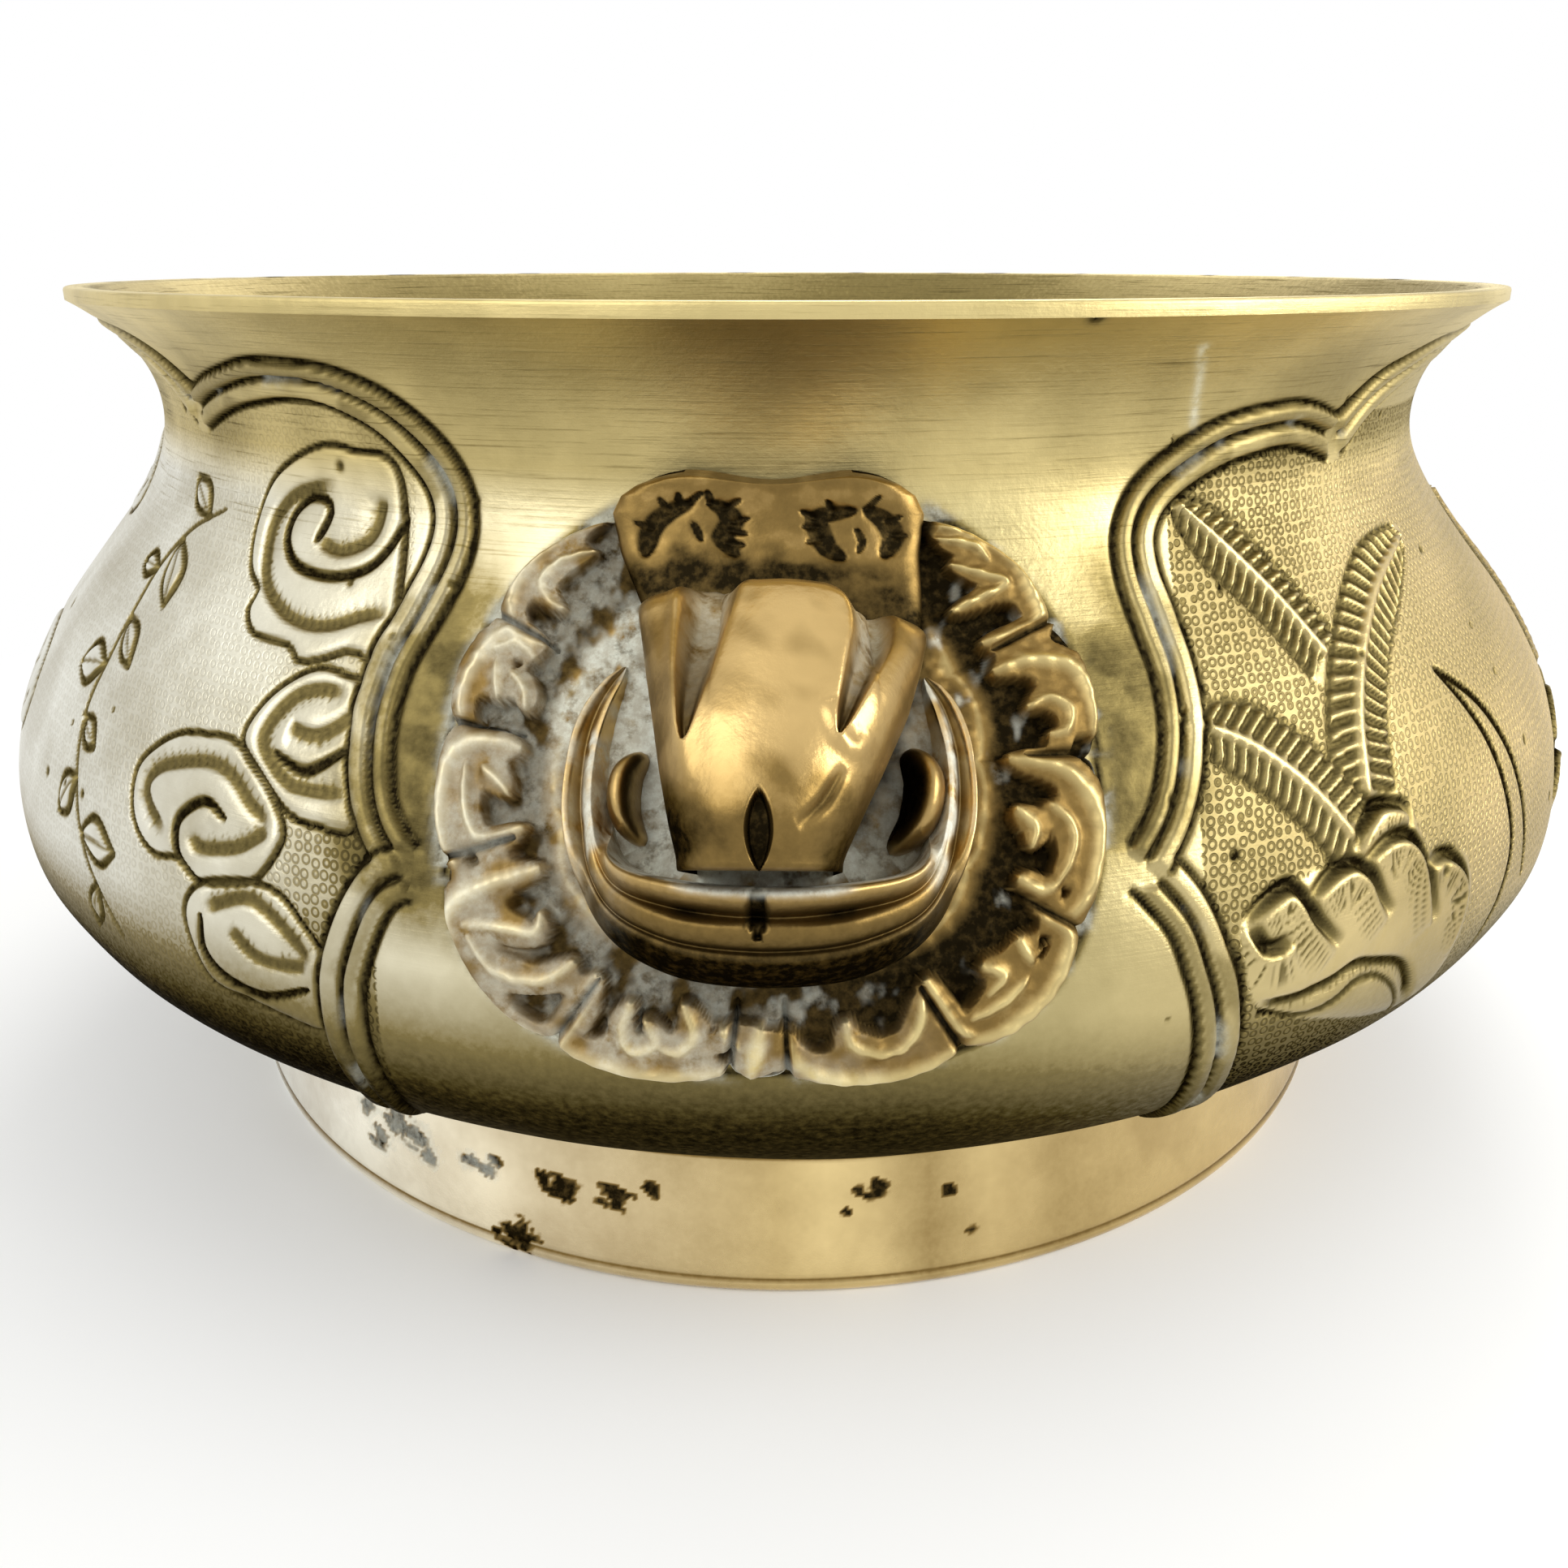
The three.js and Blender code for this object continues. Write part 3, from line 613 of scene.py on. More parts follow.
WATERLINES = [
    [(51, 0.5), (56.5, 0.2), (61, 0.7), (64.5, 1.7), (67.5, 1.3), (73, -0.5), (75.6, -4), (77, -8)],
    [(51.5, -0.6), (57.5, -2.6), (62, -2), (65.5, -0.5), (69.5, -1.3), (73, -4.5), (75, -9)],
]

# Half the width of a panel's frame, its channel's distance from the middle, and where the panels end
FRAME_HALF = 2.7
FRAME_CHANNEL = 0.12
PANEL_LOW = -18
PANEL_HIGH_LEFT, PANEL_HIGH_RIGHT = 66, 62


def cut_frame(work, points):
    """A panel's frame: a broad rib, a dark channel and a narrow rib between two cut lines."""
    path = curve_through(points)
    window = work.near(path, FRAME_HALF + 9)
    if window is None:
        return
    away, along = work.measure(path, window)
    x, y = work.x[window], work.y[window]
    away = away + 0.18 * waves(x, y, 3, 17, 2)
    to_sides = 0.4 + 0.6 * smooth_step(110, 70, np.abs(x))
    ends = smooth_step(0, 0.012, along) * smooth_step(1, 0.988, along) * to_sides
    broad = smooth_step(-FRAME_HALF, -1.9, away) * smooth_step(-0.1, -0.7, away)
    narrow = smooth_step(0.35, 1.0, away) * smooth_step(FRAME_HALF, 1.9, away)
    ribs = np.maximum(broad, narrow)
    cuts = np.maximum(bump(away + FRAME_HALF, 0.45), bump(away - FRAME_HALF, 0.45))
    channel = bump(away - FRAME_CHANNEL, 0.42)
    section = 0.7 * broad + 0.8 * narrow - 0.3 * cuts - 0.2 * channel
    work.height[window] = work.height[window] * (1 - ribs) + section * ends
    lines = np.clip(np.maximum(1.3 * cuts, 1.4 * channel), 0, 1)
    tarnish = 0.4 * narrow + 0.42 * broad * smooth_step(-0.2, 0.5, waves(x, y, 43, 20))
    work.dark[window] *= 1 - ribs
    work.darken(np.maximum(lines, tarnish) * ends, window)
    patches = waves(x, y, 8, 13)
    work.encrust(0.55 * bump(away - FRAME_CHANNEL, 0.8) * smooth_step(0.1, 0.7, patches) * ends, window)
    grime = smooth_step(13, FRAME_HALF, away) * (away > FRAME_HALF) * (0.75 + 0.25 * patches)
    work.darken(0.85 * grime * ends * smooth_step(14, 24, y) * smooth_step(58, 44, y), window)
    work.punched[window] = np.where(np.abs(away) < FRAME_HALF + 0.3, 0, work.punched[window])


def chase_cloud(work, cloud):
    """A puffed cloud with a ticked rim and a curl."""
    work.swell(cloud["outline"], rise=0.32)
    work.line(cloud["outline"], width=0.36, depth=0.4, dark=0.85, closed=True)
    for points in cloud["hollows"]:
        work.hollow(points, width=1.3, depth=0.5, dark=0.7, ticks=1.15)
    for points in cloud["lines"]:
        work.line(points, width=0.6, depth=0.5, dark=1.0)


def chase_long_leaf(work, leaf):
    """A long leaf: a bright midrib, and slanting dark notches on both sides."""
    path = curve_through(leaf["rib"])
    window = work.near(path, 7)
    if window is None:
        return
    away, along = work.measure(path, window)
    half = np.where(away > 0, leaf["left"], leaf["right"]) * np.sqrt(np.clip(along * 3.2 + 0.06, 0, 1))
    share = np.abs(away) / half
    inside = (share < 1) & (along < 0.999) & (along > 0.001)
    run = runs(path)[-1]
    comb = (along * run / LONG_LEAF_HATCH - share * 0.75) % 1
    notch = smooth_step(0.05, 0.22, comb) * smooth_step(0.95, 0.45, comb) * smooth_step(0.1, 0.3, share)
    notch = np.clip(1.5 * notch * (1.15 - 0.45 * share), 0, 1)
    rib = bump(away, 0.45)
    edge = bump((share - 1) * half, 0.42) * (along > 0.0) * (along < 1.0)
    work.height[window] = np.where(inside, 0.35 - 0.55 * notch + 0.25 * rib, work.height[window])
    work.dark[window] = np.where(inside, np.clip((0.24 + 0.6 * notch) * (1 - rib), 0, 1), work.dark[window])
    work.height[window] -= 0.3 * edge
    work.darken(0.8 * edge, window)
    work.punched[window] = np.where(share < 1.08, 0, work.punched[window])


def chase_rock(work, points):
    """A boulder: a steep cut edge above a rounded, hatched face; the edge's darkness is partly patina in
    the cut and partly painted shade.
    """
    path = curve_through(points)
    window = work.near(path, 9)
    if window is None:
        return
    away, along = work.measure(path, window)
    ends = dome(along)
    below = np.where(away < 0, np.exp(away / 3.2), 0)
    face = below * smooth_step(0, -0.9, away)
    work.height[window] += ends * (0.95 * face - 0.75 * bump(away - 0.25, 0.6))
    # The edge is darkened wider than its cut: painted shade.
    work.darken(ends * np.clip(1.6 * bump(away - 0.3, 0.85), 0, 1), window)
    run = runs(path)[-1]
    comb = np.abs((along * run / ROCK_HATCH) % 1 - 0.5) * 2
    hatch = bump(comb, 0.34) * smooth_step(-0.9, -1.5, away) * smooth_step(-5, -3, away) * ends
    work.height[window] -= 0.12 * hatch
    work.darken(0.8 * hatch, window)


def chase_branch(work):
    """A light engraved branch with leaves to alternate sides."""
    work.line(BRANCH_STEM, width=0.4, depth=0.25, dark=0.6)
    stem = curve_through(BRANCH_STEM)
    for index in range(BRANCH_LEAVES):
        spot = int((index + 0.7) / (BRANCH_LEAVES + 0.6) * (len(stem) - 2))
        root = stem[spot]
        ahead = stem[spot + 1] - root
        ahead = ahead / np.hypot(*ahead)
        side = 1 if index % 2 else -1
        beside = np.array([-ahead[1], ahead[0]]) * side
        reach = BRANCH_LEAF + 2 * math.sin(index * 2.1)
        tip = root + beside * reach * 0.85 + ahead * reach * 0.5
        upper = root + beside * reach * 0.35 + ahead * reach * 0.5
        lower = root + beside * reach * 0.55 - ahead * reach * 0.02
        work.swell([root, upper, tip, lower], rise=0.3)
        for edge in (upper, lower):
            work.line([root, edge, tip], width=0.5, depth=0.3, dark=0.8)
        work.line([root, (upper + lower) / 2, tip], width=0.28, depth=0.2, dark=0.5)


def mane_outline(turn, mask):
    """Radius of the mane's outline in millimetres: rounder above, squarer below."""
    power = np.where(np.sin(turn) > 0, 2.0, 3.0)
    wide = np.abs(np.cos(turn) * MM / mask.half_width) ** power
    tall = np.abs(np.sin(turn) * MM / mask.half_height) ** power
    return (wide + tall) ** (-1 / power)


# How dark the underside is, by tarnish and a painted dark reflection, the nick in the lip's edge (across
# and height) and the count of pits
UNDERSIDE_TARNISH_AND_SHADE = 0.93
NICK = (30.8, 121.4)
PITS = 90


def soil_and_shade_round_mask(work, mask):
    """Darkening beside the mane, and a dark joint along its edge, deepened as a painted shadow line, with
    pale residue in it.
    """
    x, y = work.x, work.y - mask.centre / MM
    away = np.hypot(x, y) - mane_outline(np.arctan2(y, x), mask)
    patches = 0.5 + 0.5 * waves(work.x, work.y, 21, 9)
    smears = waves(work.x, work.y, 23, 26, 2)
    ring = smooth_step(19 + 5 * smears, 3, away) * (0.75 + 0.25 * smooth_step(0.3, 0.7, patches))
    start = 12 - 7 * smooth_step(10, -20, work.x)
    beside = smooth_step(48, 38, work.y) * smooth_step(0, 11, work.y - start) * smooth_step(-2, 1, away)
    work.darken(0.8 * ring * beside)
    behind_crest = smooth_step(17, 14, np.abs(work.x)) * smooth_step(45, 50, work.y)
    # The joint is darker than a joint alone: a painted shadow line along the mane's edge.
    joint = bump(away - 0.5, 0.9) * (1 - behind_crest)
    work.darken(joint)
    work.encrust(0.9 * joint * smooth_step(0.35, 0.6, patches + 0.25 * smooth_step(5, -25, work.x) - 0.15))


def soil_and_shade_belly_and_neck(work, z):
    """Faint smudges, a dark underside that is tarnish and a painted dark reflection, and bands, a drip and
    a nick on the neck.
    """
    right = smooth_step(10, 60, work.x)
    smudges = smooth_step(-0.9, 0.9, waves(work.x, 1.4 * work.y, 77, 60, 2))
    work.darken(0.16 * smudges * smooth_step(104, 98, z))
    broad = waves(work.x, work.y, 37, 90, 2)
    # The underside darkens as tarnish and as a painted dark reflection, a little less to the right.
    under = smooth_step(65 - 4 * right + 3 * broad, 43 - 4 * right, z)
    work.darken(under * (UNDERSIDE_TARNISH_AND_SHADE - 0.25 * right * smooth_step(30, 44, z)))
    neck = smooth_step(101, 107, z) * smooth_step(122, 114, z)
    bands = smooth_step(-0.4, 0.6, waves(work.x, 0.15 * work.y, 51, 38))
    sides = smooth_step(20, 80, np.abs(work.x))
    work.darken(neck * (0.14 * sides + 0.14 * right + 0.16 * bands))
    smears = waves(work.x, work.y, 23, 26, 2)
    drip = bump(work.x - np.interp(z, [109, 118], [47, 44.6]) - 0.8 * smears, 0.7)
    work.encrust(0.5 * drip * smooth_step(108.5, 110, z) * smooth_step(119, 118, z))
    work.darken(bump(np.hypot(work.x - NICK[0], 1.5 * (z - NICK[1])), 0.9))


def pit_wall(work):
    """Small dark pits, strewn over the belly."""
    dice = np.random.default_rng(61)
    lowest = work.y.min() + 8
    for _ in range(PITS):
        x, y, size = dice.uniform(-190, 190), dice.uniform(lowest, 70), dice.uniform(0.25, 0.7)
        window = work.near(np.array([(x, y)]), 4 * size)
        if window is not None:
            pit = bump(np.hypot(work.x[window] - x, work.y[window] - y), size)
            work.darken(0.9 * pit, window)
            work.height[window] -= 0.25 * pit


def chase_left(work):
    """Clouds and a leafy branch, on a ground that is punched near the frame."""
    panel = smooth_step(PANEL_LOW - 3, PANEL_LOW + 3, work.y) * (work.x < -40) * (work.y < PANEL_HIGH_LEFT)
    close = smooth_step(-58, -48, work.x) * smooth_step(24, 16, work.y) * smooth_step(-6, 2, work.y)
    work.punched[:] = panel * np.maximum(0.28, close)
    chase_branch(work)
    for cloud in CLOUDS:
        chase_cloud(work, cloud)
    for points in (LEFT_FRAME, LEFT_FRAME_LOBE, LEFT_FRAME_FOOT):
        cut_frame(work, points)


def chase_right(work):
    """Long leaves over rocks and water, on a ring-punched ground."""
    panel = smooth_step(PANEL_LOW - 3, PANEL_LOW + 3, work.y) * (work.x > 44) * (work.y < PANEL_HIGH_RIGHT)
    work.punched = np.maximum(work.punched, panel * (0.62 + 0.38 * smooth_step(75, 60, work.x)))
    work.swell(ROCK_REGION, rise=0.5, edge=5)
    for points in BLADE:
        work.line(points, width=0.5, depth=0.35, dark=0.9)
    for leaf in LONG_LEAVES:
        chase_long_leaf(work, leaf)
    for points in ROCKS:
        chase_rock(work, points)
    work.hollow(WATERLINES[0], width=1.0, depth=0.7, dark=0.9, ticks=0.9, side=-1)
    work.line(WATERLINES[1], width=0.4, depth=0.3, dark=0.8)
    for points in (RIGHT_FRAME_FOOT, RIGHT_FRAME_LOBE, RIGHT_FRAME):
        cut_frame(work, points)


# Bowl and foot

# Strips of the front half of the wall, in degrees with their columns, and its bands of rows, in millimetres
WALL_STRIPS = {
    "branch": (-90, -57, 112),
    "clouds": (-57, -17, 280),
    "middle": (-17, 17, 100),
    "leaves": (17, 57, 280),
    "blades": (57, 90, 112),
}
WALL_BANDS = [(-30, 34), (66, 260)]
LAST_ROWS = 30

# Segments of the turned sheets, and the least radius that their flat maps are laid out with
LINING_SEGMENTS, UNDERSIDE_SEGMENTS, FOOT_SEGMENTS = 400, 240, 1200
LEAST_MAP_RADIUS = 40


def wall_strips(outline, mask):
    """The front half of the outer wall, chased as one sheet, bent to the outline and cut into strips."""
    turns = [np.linspace(a, b, count, endpoint=False) for a, b, count in WALL_STRIPS.values()]
    turns = np.radians(np.concatenate(turns + [[90]]))
    rises, start = [], outline.low
    for end, rows in WALL_BANDS:
        rises.append(np.linspace(start, end, rows, endpoint=False))
        start = end
    rises = np.concatenate(rises + [np.linspace(start, outline.high, LAST_ROWS + 1)])
    turn, up = np.meshgrid(turns, rises)
    across = turn * outline.radius_at(up)
    z = np.interp(up, outline.arc, outline.z)
    work = Chasing(across, up)
    chase_left(work)
    chase_right(work)
    hollows = smooth_step(0.05, 0.5, blur(work.height, 6) - work.height)
    dirt = smooth_step(0.03, 0.5, blur(work.dark, 7)) * (0.65 + 0.35 * waves(across, up, 57, 15))
    work.darken(np.maximum(0.5 * hollows, dirt * (0.34 - 0.14 * (across > 0))))
    soil_and_shade_round_mask(work, mask)
    soil_and_shade_belly_and_neck(work, z)
    pit_wall(work)
    # Where the two halves meet, the wall keeps only the underside's tarnish and painted dark reflection.
    meeting = smooth_step(math.pi / 2 - 0.25, math.pi / 2, np.abs(turn))
    work.dark += (UNDERSIDE_TARNISH_AND_SHADE * smooth_step(65, 43, z) - work.dark) * meeting
    work.green *= 1 - meeting
    work.punched *= 1 - meeting
    ends = smooth_step(outline.low, outline.low + 5, up) * smooth_step(outline.high, outline.high - 5, up)
    sides = smooth_step(math.pi / 2, math.pi / 2 - 0.05, np.abs(turn))
    dents = 0.12 * waves(across, up, 5, 34, 2) * sides
    points = outline.place(across, up, (work.height + dents) * ends, turn)
    sheets, first = [], 0
    for name, (_, _, columns) in WALL_STRIPS.items():
        part = np.s_[:, first : first + columns + 1]
        sheet, _, _ = new_sheet("front_wall_" + name, columns, len(rises) - 1)
        shades = {key: getattr(work, key)[part] for key in ("dark", "green", "punched")}
        dress(sheet, points[part], across[part], up[part], outward=False, **shades)
        sheets.append(sheet)
        first += columns
    return sheets


def lathe(name, profile, segments, soil_and_shade):
    """A sheet of revolution about the bowl's axis, from radii and heights in millimetres."""
    profile = np.array(profile, float)
    sheet, u, v = new_sheet(name, segments, len(profile) - 1)
    turn = (2 * u - 1) * math.pi
    row = np.rint(v * (len(profile) - 1)).astype(int)
    radius, z = profile[row, 0], profile[row, 1]
    points = np.stack([radius * np.sin(turn), -radius * np.cos(turn), z], axis=-1) * MM
    dark, green = soil_and_shade(turn, radius, z)
    across = turn * np.maximum(radius, LEAST_MAP_RADIUS)
    dress(sheet, points, across, runs(profile)[row], outward=False, dark=dark, green=green)
    return sheet


def bowl_lining(outline):
    """Radii and heights from the outer edge of the lip, over it and down the inside to the middle."""
    mm = outline.mm
    wall, top, lip = mm["wall"], mm["height"], mm["rim_radius"]
    hip = outline.hip[::8]
    slope = np.gradient(hip, axis=0)
    slope /= np.linalg.norm(slope, axis=1)[:, None]
    floor = np.stack([hip[:, 0] - slope[:, 1] * wall, hip[:, 1] + slope[:, 0] * wall], axis=-1)
    spots = np.linspace(0, len(outline.arc) - 1, 90).astype(int)
    inner_radius = outline.radius[spots] - outline.out_r[spots] * wall
    side = np.stack([inner_radius, outline.z[spots] - outline.out_z[spots] * wall], axis=-1)
    side = side[side[:, 1] < top - wall - 2.2]
    middle = [(0, floor[0, 1]), (floor[0, 0] * 0.5, floor[0, 1])]
    inner_edge = [(lip - mm["lip_width"] - 0.5, top - 0.5), (lip - mm["lip_width"], top - 0.1)]
    flat = [(lip - 1.8, top)]
    round_edge = [(lip - 0.35, top), (lip - 0.1, top - 0.12), (lip, top - 0.4), (lip, top - mm["lip_face"])]
    return np.vstack([middle, floor, side[1:], inner_edge, flat, round_edge])[::-1]


def bowl_underside(outline):
    """Radii and heights of the underside, from its middle out to the joint with the foot ring."""
    hip = outline.hip
    middle = [(0, hip[0, 1]), (hip[0, 0] * 0.5, hip[0, 1])]
    return np.vstack([middle, hip[:-1:6], hip[-1:]])


def build_bowl(outline, mask, wall_finish, lining_finish):
    """The chased wall in ten strips, with the lining and the underside."""
    rim, top = outline.mm["rim_radius"], outline.mm["height"]
    for sheet in wall_strips(outline, mask):
        for piece in (sheet, rear_copy(sheet, sheet.name.replace("front", "rear"))):
            finish_piece(piece, "bowl", wall_finish)

    def ash(turn, radius, z):
        """Ash inside, and flecks of it and of pale residue on the lip."""
        lip = (radius > rim - 2.4) & (z > top - 4)
        far = smooth_step(0.5, -0.2, np.cos(turn))
        flecks = waves(turn * rim, 3 * z, 63, 13)
        inside = 0.8 - 0.34 * smooth_step(top - 12, top - 4, z) + 0.08 * np.sin(5 * turn)
        dark = np.where(lip, 0.08 + 0.85 * far * smooth_step(0.3, 0.7, flecks), inside)
        return dark, 0.9 * far * lip * smooth_step(-0.3, -0.6, flecks)

    def shaded(turn, radius, z):
        """An even dull tone."""
        return np.full_like(z, 0.7), np.zeros_like(z)

    lining = lathe("bowl_lining", bowl_lining(outline), LINING_SEGMENTS, ash)
    underside = lathe("bowl_underside", bowl_underside(outline), UNDERSIDE_SEGMENTS, shaded)
    for piece in (lining, underside):
        finish_piece(piece, "bowl", lining_finish)


# Blotches on the foot ring's face: degrees round from the front, height and size in millimetres
FOOT_BLOTCHES = [
    (-38.5, 12, 0.9), (-36.5, 8.5, 1.1), (-34.3, 12.4, 1.5), (-32, 11.6, 1.3), (-30.4, 9.6, 0.9),
    (-26, 11.5, 0.8), (-24.2, 11.3, 0.8), (-23.4, 12.6, 0.6), (-17.3, 11.3, 1.4), (-18.8, 12.3, 0.8),
    (-12.8, 12, 1.3), (-9.8, 13.6, 0.8), (-21, 3.2, 1.6), (-23, 2.9, 0.6), (7.8, 14.3, 0.9),
    (6.4, 14.5, 0.5), (13.7, 13.2, 0.7), (5.4, 11.4, 0.4), (15.4, 7, 0.5), (60, 9, 1.1), (64, 12, 0.7),
    (118, 6, 1.4), (152, 13, 1.0), (190, 10, 1.5), (194, 8, 0.8), (236, 12, 1.2), (262, 5, 0.9),
]
# The groove round the foot ring's face: its lower and upper edge, and its depth
FOOT_GROOVE = (1.9, 2.6, 0.25)
# Blotches further left than this, in degrees, have a pale crust
CRUSTED_LEFT_OF = -24
# Soft bands round the foot ring, painted reflections: degrees and how dark
FOOT_REFLECTION_BANDS = [
    (0, 0.18), (4, 0.04), (8, 0.1), (12, 0.34), (17, 0.1), (23, 0.28), (40, 0.1), (90, 0.25),
    (150, 0.1), (210, 0.3), (270, 0.12), (320, 0.02), (325, 0), (336, 0), (342, 0.16), (352, 0.24),
    (360, 0.18),
]


def build_foot(outline, finish):
    """The splayed foot ring: a closed section, a little hollow in its face, with a rounded bottom edge."""
    mm = outline.mm
    top, bevel = mm["seat_radius"], mm["foot_bevel"]
    low = top + mm["foot_splay"]
    height = mm["seat_height"]
    pulls = (low - 1.2, height * 0.4), (top + 0.1, height * 0.7)
    face = bezier((low, bevel), *pulls, (top, height - 0.8), 40)
    groove_low, groove_high, groove_depth = FOOT_GROOVE
    grooved = (face[:, 1] > groove_low) & (face[:, 1] < groove_high)
    face[:, 0] -= np.where(grooved, groove_depth, 0)
    edge = bezier((low - bevel, 0), (low - bevel * 0.3, 0), (low, bevel * 0.4), (low, bevel), 7)
    inner = [(top - 3.4, height - 2.2), (low - mm["foot_wall"] - 0.4, 1), (low - mm["foot_wall"], 0)]
    shoulder = [(top - 0.2, height - 0.3), (top - 0.9, height - 0.1), (top - 2.4, height - 1)]
    profile = np.vstack([face, shoulder, inner, edge])

    def soil_and_shade(turn, radius, z):
        """A dark joint and groove, soft bands round the ring that are painted reflections, a little
        mottled, and ragged blotches with a pale crust.
        """
        outer = radius > low - 3
        joint = smooth_step(height - 1.6, height - 0.3, z) * 0.9
        line = bump(z - 2.2, 0.35) * 0.6
        # Painted reflections: darker bands between the bright ones round the ring.
        reflection_bands = np.interp(np.degrees(turn) % 360, *np.array(FOOT_REFLECTION_BANDS).T)
        bands_and_mottle = 0.02 + reflection_bands + 0.06 * waves(turn * top, z * 3, 41, 46, 2)
        shade = np.maximum(np.maximum(joint, line), bands_and_mottle)
        ragged = 0.55 * waves(turn * top, z, 47, 2.1, 3)
        crust = np.zeros_like(z)
        for degrees, level, size in FOOT_BLOTCHES:
            away = (turn - math.radians(degrees) + math.pi) % (2 * math.pi) - math.pi
            spot = np.hypot(away * top * 0.8, z - level) / (1.3 * size) + ragged
            shade = np.maximum(shade, smooth_step(1.2, 0.85, spot))
            crust = np.maximum(crust, 0.45 * smooth_step(1.9, 1.2, spot) * (degrees < CRUSTED_LEFT_OF))
        return np.where(outer, shade, 0.75), np.where(outer, crust, 0)

    ring = lathe("foot_ring_turned", profile, FOOT_SEGMENTS, soil_and_shade)
    finish_piece(ring, "foot_ring", finish)


# Lion masks

# Degrees of the cuts between the mane's lobes, once round from the upper right
MANE_EDGES = [61, 120, 154, 177, 200, 233, 263, 274, 304, 330, 358, 385, 421]

# Rolled rims of the mane's lobes, from the upper left round to the upper right
LOBE_RIMS = [
    [(-16.5, 54), (-20.5, 52), (-24, 48), (-25.5, 44), (-25.3, 41.5)],
    [(-22, 39), (-26, 40), (-28.7, 36.5), (-29.8, 33), (-29.6, 30.5)],
    [(-23, 28.5), (-27, 29), (-30, 27.5), (-31, 23.5), (-30.5, 19.5), (-29, 17.5)],
    [(-20.5, 18), (-26, 16), (-29.3, 13.8), (-29.5, 10.5), (-28, 7), (-24.5, 4.6), (-20.5, 3.2)],
    [(-15, 9.5), (-17, 6), (-18.5, 2.8), (-14, 1.2), (-9, 0.7), (-3.8, 1.3)],
    [(-0.5, 5.5), (-1, 3), (-1.5, 0.8)],
    [(1.5, 5), (2.5, 2.5), (5.5, 0.9), (10, 0.6), (14.5, 1.6), (17, 3)],
    [(18.5, 3.6), (22.5, 4.8), (26, 7.8), (27.5, 12), (25, 14)],
    [(22, 28), (27.5, 26.5), (30.3, 23), (30.8, 19.5), (29.6, 15.6), (27.3, 13.3)],
    [(21, 36.5), (25, 37.5), (29.3, 36.3), (30.8, 32.5), (31, 29.5)],
    [(14.5, 53), (19, 52.5), (23.3, 49.2), (25.4, 45), (25.8, 41.4), (20, 39.5)],
]
# Curls and spurs in the hollows of the lobes
LOBE_CURLS = [
    [(-17, 50), (-20.5, 48.5), (-22.5, 46), (-21.5, 44), (-20, 43)],
    [(-27, 38), (-24.5, 39), (-22.5, 37.5)],
    [(-26.5, 37), (-26, 33)],
    [(-25, 36), (-23.5, 34.5), (-23, 32)],
    [(-28.6, 26.5), (-28.3, 22.5), (-26.5, 20), (-22, 21.5)],
    [(-27, 26.5), (-25.5, 25.5), (-24, 24)],
    [(-28, 12.5), (-24.5, 12.7), (-21, 12.5), (-20.5, 14.5)],
    [(-27.5, 11.5), (-25, 9), (-20.5, 8.5), (-17, 10.5)],
    [(-12, 7.5), (-13, 4.7), (-12.2, 3), (-10, 3.7), (-11, 6)],
    [(-7.5, 7.5), (-6.5, 4.7), (-8, 3), (-9.5, 3.4)],
    [(-4, 5.4), (-2.6, 3.6)],
    [(7, 6.2), (7.5, 4), (10, 3), (12.5, 3.4)],
    [(14, 8), (13.5, 5), (11.8, 3)],
    [(14, 9.5), (15.5, 7), (17, 5), (18.5, 4.2)],
    [(18.5, 5.6), (21.5, 7), (23.5, 8.7)],
    [(19, 10.2), (21.3, 9.2), (20, 7.6)],
    [(22.5, 12.4), (24, 10)],
    [(26, 23.5), (28, 21.5), (28, 19), (26.5, 16.5)],
    [(22.5, 17.4), (25, 16), (26.5, 16.5)],
    [(22.5, 23.5), (24.5, 21.5), (24, 19.5)],
    [(24, 32.5), (26.5, 33.5), (28.6, 32), (28, 30), (26.3, 30)],
    [(17, 48.5), (20.5, 47.2), (22.8, 46), (20, 44.5), (17, 43)],
    [(16, 51.5), (19.5, 50.6), (21, 48.8)],
]

# Columns and rows of the mane, the rows of its edge, and where its basin starts, by rows and by radius
MANE_GRID = (530, 132)
MANE_EDGE_ROWS = 0.06
MANE_BASIN_START = (0.9, 0.56)
# Widths of its ridges and of their worn crests
RIM_WIDTH, CURL_WIDTH = 2.35, 1.95
RIM_CREST, CURL_CREST = 0.7, 0.45


def raise_ridge(work, field, points, width):
    """Adds a rounded ridge along a line, thinner towards its ends, to a field between 0 and 1."""
    path = curve_through(points, step=0.6)
    window = work.near(path, 3.5 * width)
    if window is None:
        return
    away, along = work.measure(path, window)
    taper = 0.5 + 0.5 * dome(along)
    field[window] = 1 - (1 - field[window]) * (1 - taper * bump(away, width * taper))


